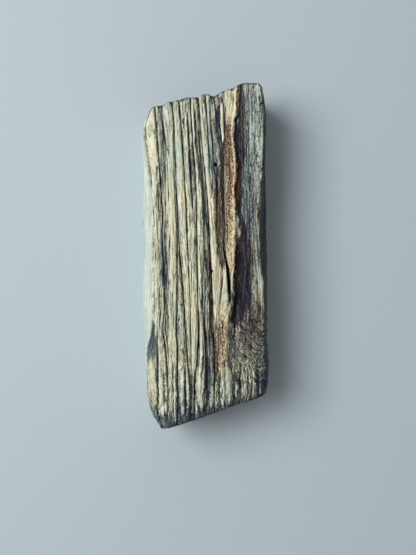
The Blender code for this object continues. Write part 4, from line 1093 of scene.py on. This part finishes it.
def loose_fibre(colours):
    """A splinter of dry wood that has lifted off and bleached: pale and without shine."""
    material, tree = new_material("loose_bleached_fibre")
    place = add(tree, "ShaderNodeAttribute", output="Vector", attribute_name="grain")
    inputs = {0: place, 1: (3.3, 0.25, 3.3)}
    scaled = add(tree, "ShaderNodeVectorMath", inputs, operation="MULTIPLY")
    streak = add(tree, "ShaderNodeTexNoise", {"Vector": scaled, "Scale": 1.0})
    stops = (
        (0.25, tuple(colours.grey)), (0.5, tuple(colours.pale)), (0.8, tuple(colours.crest)),
    )
    colour = add(tree, "ShaderNodeValToRGB", {"Fac": streak}, stops=stops)
    inputs = {0: streak, 1: 0.1, 2: 0.82}
    roughness = add(tree, "ShaderNodeMath", inputs, operation="MULTIPLY_ADD")
    finish_shader(tree, colour, roughness, streak, 0.1 * MM)
    return material


def plain_paper(name, colour):
    """Uncoated card: one flat colour with a faint tooth and no shine."""
    material, tree = new_material(name)
    place = add(tree, "ShaderNodeTexCoord", output="Object")
    tooth = add(tree, "ShaderNodeTexNoise", {"Vector": place, "Scale": 900.0})
    inputs = {0: tooth, 6: colour, 7: tuple(0.97 * c for c in colour)}
    shade = add(tree, "ShaderNodeMix", inputs, 2, data_type="RGBA")
    tree.links.new(shade, tree.nodes["Principled BSDF"].inputs["Base Color"])
    tree.nodes["Principled BSDF"].inputs["Roughness"].default_value = 0.9
    return material


def set_attribute(mesh, name, kind, field, values):
    """Stores one value for each point of a mesh under a name that its material reads."""
    layer = mesh.attributes.new(name, kind, "POINT")
    layer.data.foreach_set(field, np.asarray(values, np.float32).ravel())


def finished_mesh(name, bm):
    """A mesh from a bmesh, which is freed."""
    mesh = bpy.data.meshes.new(name)
    bm.to_mesh(mesh)
    bm.free()
    return mesh


def move_points(mesh, points):
    """Moves a mesh's points to places given in millimetres."""
    mesh.vertices.foreach_set("co", (points * MM).ravel())
    mesh.update()


def read_points(mesh):
    """A mesh's points as an array with a row for each."""
    points = np.zeros(len(mesh.vertices) * 3, np.float32)
    mesh.vertices.foreach_get("co", points)
    return points.reshape(-1, 3)


def new_piece(name, mesh, material):
    """A finished piece of the stick, which rides on the stick's only body."""
    mesh.materials.append(material)
    mesh.shade_smooth()
    piece = bpy.data.objects.new(name, mesh)
    bpy.context.scene.collection.objects.link(piece)
    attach(piece, "root")
    return piece


def ring_place(line_x, x, y, z, sizes):
    """Places through the wood whose first coordinate follows the growth rings, in millimetres."""
    below = sizes.height / MM - z
    return np.stack([across_grain(line_x, x, y) + 0.004 * below**2, y, z], 1)


def length_property(name, description, metres, least):
    """A length that a user would change, and the least it may be."""
    return FloatProperty(
        name=name, description=description, default=metres, min=least, unit="LENGTH",
    )


class StickSizes(bpy.types.PropertyGroup):
    height: length_property(
        "Height", "From the surface it rests on to its main ridges", 0.024, 0.01
    )
    edge_radius: length_property("Worn edges", "Radius of the worn edges", 0.0007, 0.0005)
    foot_inset: length_property(
        "Foot inset", "How far the walls tuck in below their widest level", 0.0012, 0.0
    )
    end_lean: length_property(
        "End lean", "How far each end draws in on its way down", 0.0009, 0.0
    )
    widest_level: FloatProperty(
        name="Widest level", description="Share of the height at which the walls bulge most",
        default=0.45, min=0.2, max=0.8, subtype="FACTOR",
    )
    rib_flatness: FloatProperty(
        name="Rib flatness", description="1 gives sloping ribs and more flat ones with steep sides",
        default=2.3, min=1.0, max=5.0,
    )
    fibre_count: IntProperty(
        name="Loose fibres", description="How many splinters lie loose on the weathered face",
        default=70, min=0,
    )


def colour_property(name, description, code):
    """A colour that a user would change, given as a hex sRGB code."""
    return FloatVectorProperty(
        name=name, description=description, default=linear(code), size=4,
        subtype="COLOR", min=0.0, max=1.0,
    )


class StickColours(bpy.types.PropertyGroup):
    # The darkest tone, which painted shade reaches at the bottom of the furrows and hollows.
    furrow: colour_property("Furrow", "Dirt at the bottom of the furrows", "#1d2136")
    # The dark tone beside the furrows, mostly painted shade.
    shade: colour_property("Shade", "Dark wood beside the furrows", "#454650")
    grey: colour_property("Grey", "Weathered grey wood", "#88887a")
    pale: colour_property("Pale", "Worn wood near the crests", "#c2c1a9")
    # The lightest tone: the bleached crests, with painted highlight on raised edges.
    crest: colour_property("Crest", "Bleached crests of the ribs", "#efecd6")
    floor: colour_property("Floor", "The pale surface that the stick lies on", "#bac6cb")


class PALOSANTO_OT_stick(bpy.types.Operator):
    """Model the weathered stick with its ribs, furrows, cracks, borer holes and resin vein"""

    bl_idname = "palosanto.stick"
    bl_label = "Weathered stick"

    def execute(self, context):
        sizes = context.scene.stick_sizes
        lines = column_lines()
        counts = (len(lines) - 1, ROWS, LEVELS)
        bm = gridded_block(counts)
        thin_underside(bm)
        mesh = finished_mesh("weathered_stick", bm)
        place = np.rint((read_points(mesh) + 0.5) * counts).astype(int)
        points, line_x, up = skin_points(place, lines, sizes)
        move_points(mesh, points)
        finish = skin_finish(place, points, line_x, up)
        for name, values in finish.items():
            set_attribute(mesh, name, "FLOAT", "value", values)
        rings = ring_place(line_x, *points.T, sizes)
        set_attribute(mesh, "grain", "FLOAT_VECTOR", "vector", rings)
        material = weathered_palo_santo(context.scene.stick_colours)
        stick = new_piece("weathered_stick", mesh, material)
        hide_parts("stick")
        return {"FINISHED"}


def loose_bars(count):
    """Unit bars side by side, two apart, each cut into steps along Y."""
    bm = bmesh.new()
    for number in range(count):
        bmesh.ops.create_cube(bm, size=1.0, matrix=Matrix.Translation((2 * number, 0, 0)))
    uncut = [e for e in bm.edges if abs(e.verts[0].co.y - e.verts[1].co.y) > 0.9]
    bmesh.ops.subdivide_edges(bm, edges=uncut, cuts=FIBRE_STEPS - 1)
    return bm


def fibre_points(bars, sizes):
    """Points of thin tapered splinters that follow the grain, from those of the loose bars."""
    dice = np.random.default_rng(21)
    number = np.rint(bars[:, 0] / 2).astype(int)
    count = number.max() + 1
    shares = np.array([area[0] for area in FIBRE_AREAS])
    area = dice.choice(len(FIBRE_AREAS), count, p=shares / shares.sum())
    first_line, last_line, low_y, high_y = np.array(FIBRE_AREAS)[area, 1:].T
    line = dice.uniform(first_line, last_line)[number]
    middle_y = dice.uniform(low_y, high_y)[number]
    length, width, thickness, skew, lift = (
        dice.uniform(low, high, count)[number] for low, high in FIBRE_RANGES
    )
    along = bars[:, 1] + 0.5
    y = np.clip(middle_y + (along - 0.5) * length, low_y[number] - 3, high_y[number])
    x, bed = weathered_face(line, y, sizes)
    nominal = middle_places()
    detail = face_detail(np.interp(line, np.arange(len(nominal)), nominal), x, y)
    bed = bed + (np.bincount(number, detail) / np.bincount(number))[number]
    taper = np.sqrt(np.clip(1 - (2 * along - 1) ** 2, 0.03, 1))
    x = x + skew * (y - middle_y) + (bars[:, 0] - 2 * number) * width * taper
    free_end = np.where(lift > 0, along, 1 - along) ** 3
    z = bed + FIBRE_GAP + bars[:, 2] * thickness * taper + np.abs(lift) * free_end
    return np.stack([x, y, z], 1)


class PALOSANTO_OT_fibres(bpy.types.Operator):
    """Lay loose splinters along the grain of the weathered face"""

    bl_idname = "palosanto.fibres"
    bl_label = "Loose fibres"

    def execute(self, context):
        sizes = context.scene.stick_sizes
        mesh = finished_mesh("loose_fibres", loose_bars(sizes.fibre_count))
        points = fibre_points(read_points(mesh), sizes)
        move_points(mesh, points)
        set_attribute(mesh, "grain", "FLOAT_VECTOR", "vector", points)
        new_piece("loose_fibres", mesh, loose_fibre(context.scene.stick_colours))
        return {"FINISHED"}


class PALOSANTO_OT_stage(bpy.types.Operator):
    """Set the pale floor, the soft light and the camera straight above the stick"""

    bl_idname = "palosanto.stage"
    bl_label = "Floor, light and camera"

    def execute(self, context):
        scene = context.scene
        bm = bmesh.new()
        bmesh.ops.create_grid(bm, x_segments=1, y_segments=1, size=FLOOR_HALF)
        mesh = finished_mesh("floor", bm)
        mesh.materials.append(plain_paper("pale_floor_card", tuple(scene.stick_colours.floor)))
        floor = bpy.data.objects.new("floor", mesh)
        scene.collection.objects.link(floor)
        ridges = Vector((0, 0, scene.stick_sizes.height))
        window = bpy.data.lights.new("window_left", "AREA")
        window.energy = WINDOW_POWER
        window.size = WINDOW_SIZE
        window_object = bpy.data.objects.new("window_left", window)
        window_object.location = WINDOW_PLACE
        aim = ridges - Vector(WINDOW_PLACE)
        window_object.rotation_euler = aim.to_track_quat("-Z", "Y").to_euler()
        scene.collection.objects.link(window_object)
        world = bpy.data.worlds.new("soft_studio")
        world.use_nodes = True
        background = world.node_tree.nodes["Background"]
        background.inputs["Color"].default_value = linear("#eef3f6")
        background.inputs["Strength"].default_value = ROOM_LIGHT
        scene.world = world
        scene.view_settings.view_transform = "Standard"

        camera = bpy.data.cameras.new("camera_above")
        camera.sensor_width = SENSOR
        camera.lens = SENSOR * CAMERA_DISTANCE / VIEW_HEIGHT
        camera.clip_start = 0.01
        camera_object = bpy.data.objects.new("camera_above", camera)
        camera_object.location = (*VIEW_CENTRE, ridges.z + CAMERA_DISTANCE)
        scene.collection.objects.link(camera_object)
        scene.camera = camera_object
        return {"FINISHED"}


class PALOSANTO_PT_sidebar(bpy.types.Panel):
    """Lists the stick's operators, sizes and colours"""

    bl_idname = "PALOSANTO_PT_sidebar"
    bl_label = "Palo Santo Stick"
    bl_space_type = "VIEW_3D"
    bl_region_type = "UI"
    bl_category = "Palo Santo"

    def draw(self, context):
        column = self.layout.column()
        for operator in OPERATORS:
            column.operator(operator.bl_idname)
        for group in (context.scene.stick_sizes, context.scene.stick_colours):
            column.separator()
            for name in group.bl_rna.properties.keys():
                if name not in ("rna_type", "name"):
                    column.prop(group, name)


OPERATORS = (PALOSANTO_OT_stick, PALOSANTO_OT_fibres, PALOSANTO_OT_stage)
CLASSES = (StickSizes, StickColours, *OPERATORS, PALOSANTO_PT_sidebar)


def register():
    for cls in CLASSES:
        bpy.utils.register_class(cls)
    bpy.types.Scene.stick_sizes = PointerProperty(type=StickSizes)
    bpy.types.Scene.stick_colours = PointerProperty(type=StickColours)


def unregister():
    del bpy.types.Scene.stick_colours
    del bpy.types.Scene.stick_sizes
    for cls in reversed(CLASSES):
        bpy.utils.unregister_class(cls)


def main():
    register()
    bpy.ops.palosanto.stick()
    bpy.ops.palosanto.fibres()
    bpy.ops.palosanto.stage()


if __name__ == "__main__":
    main()
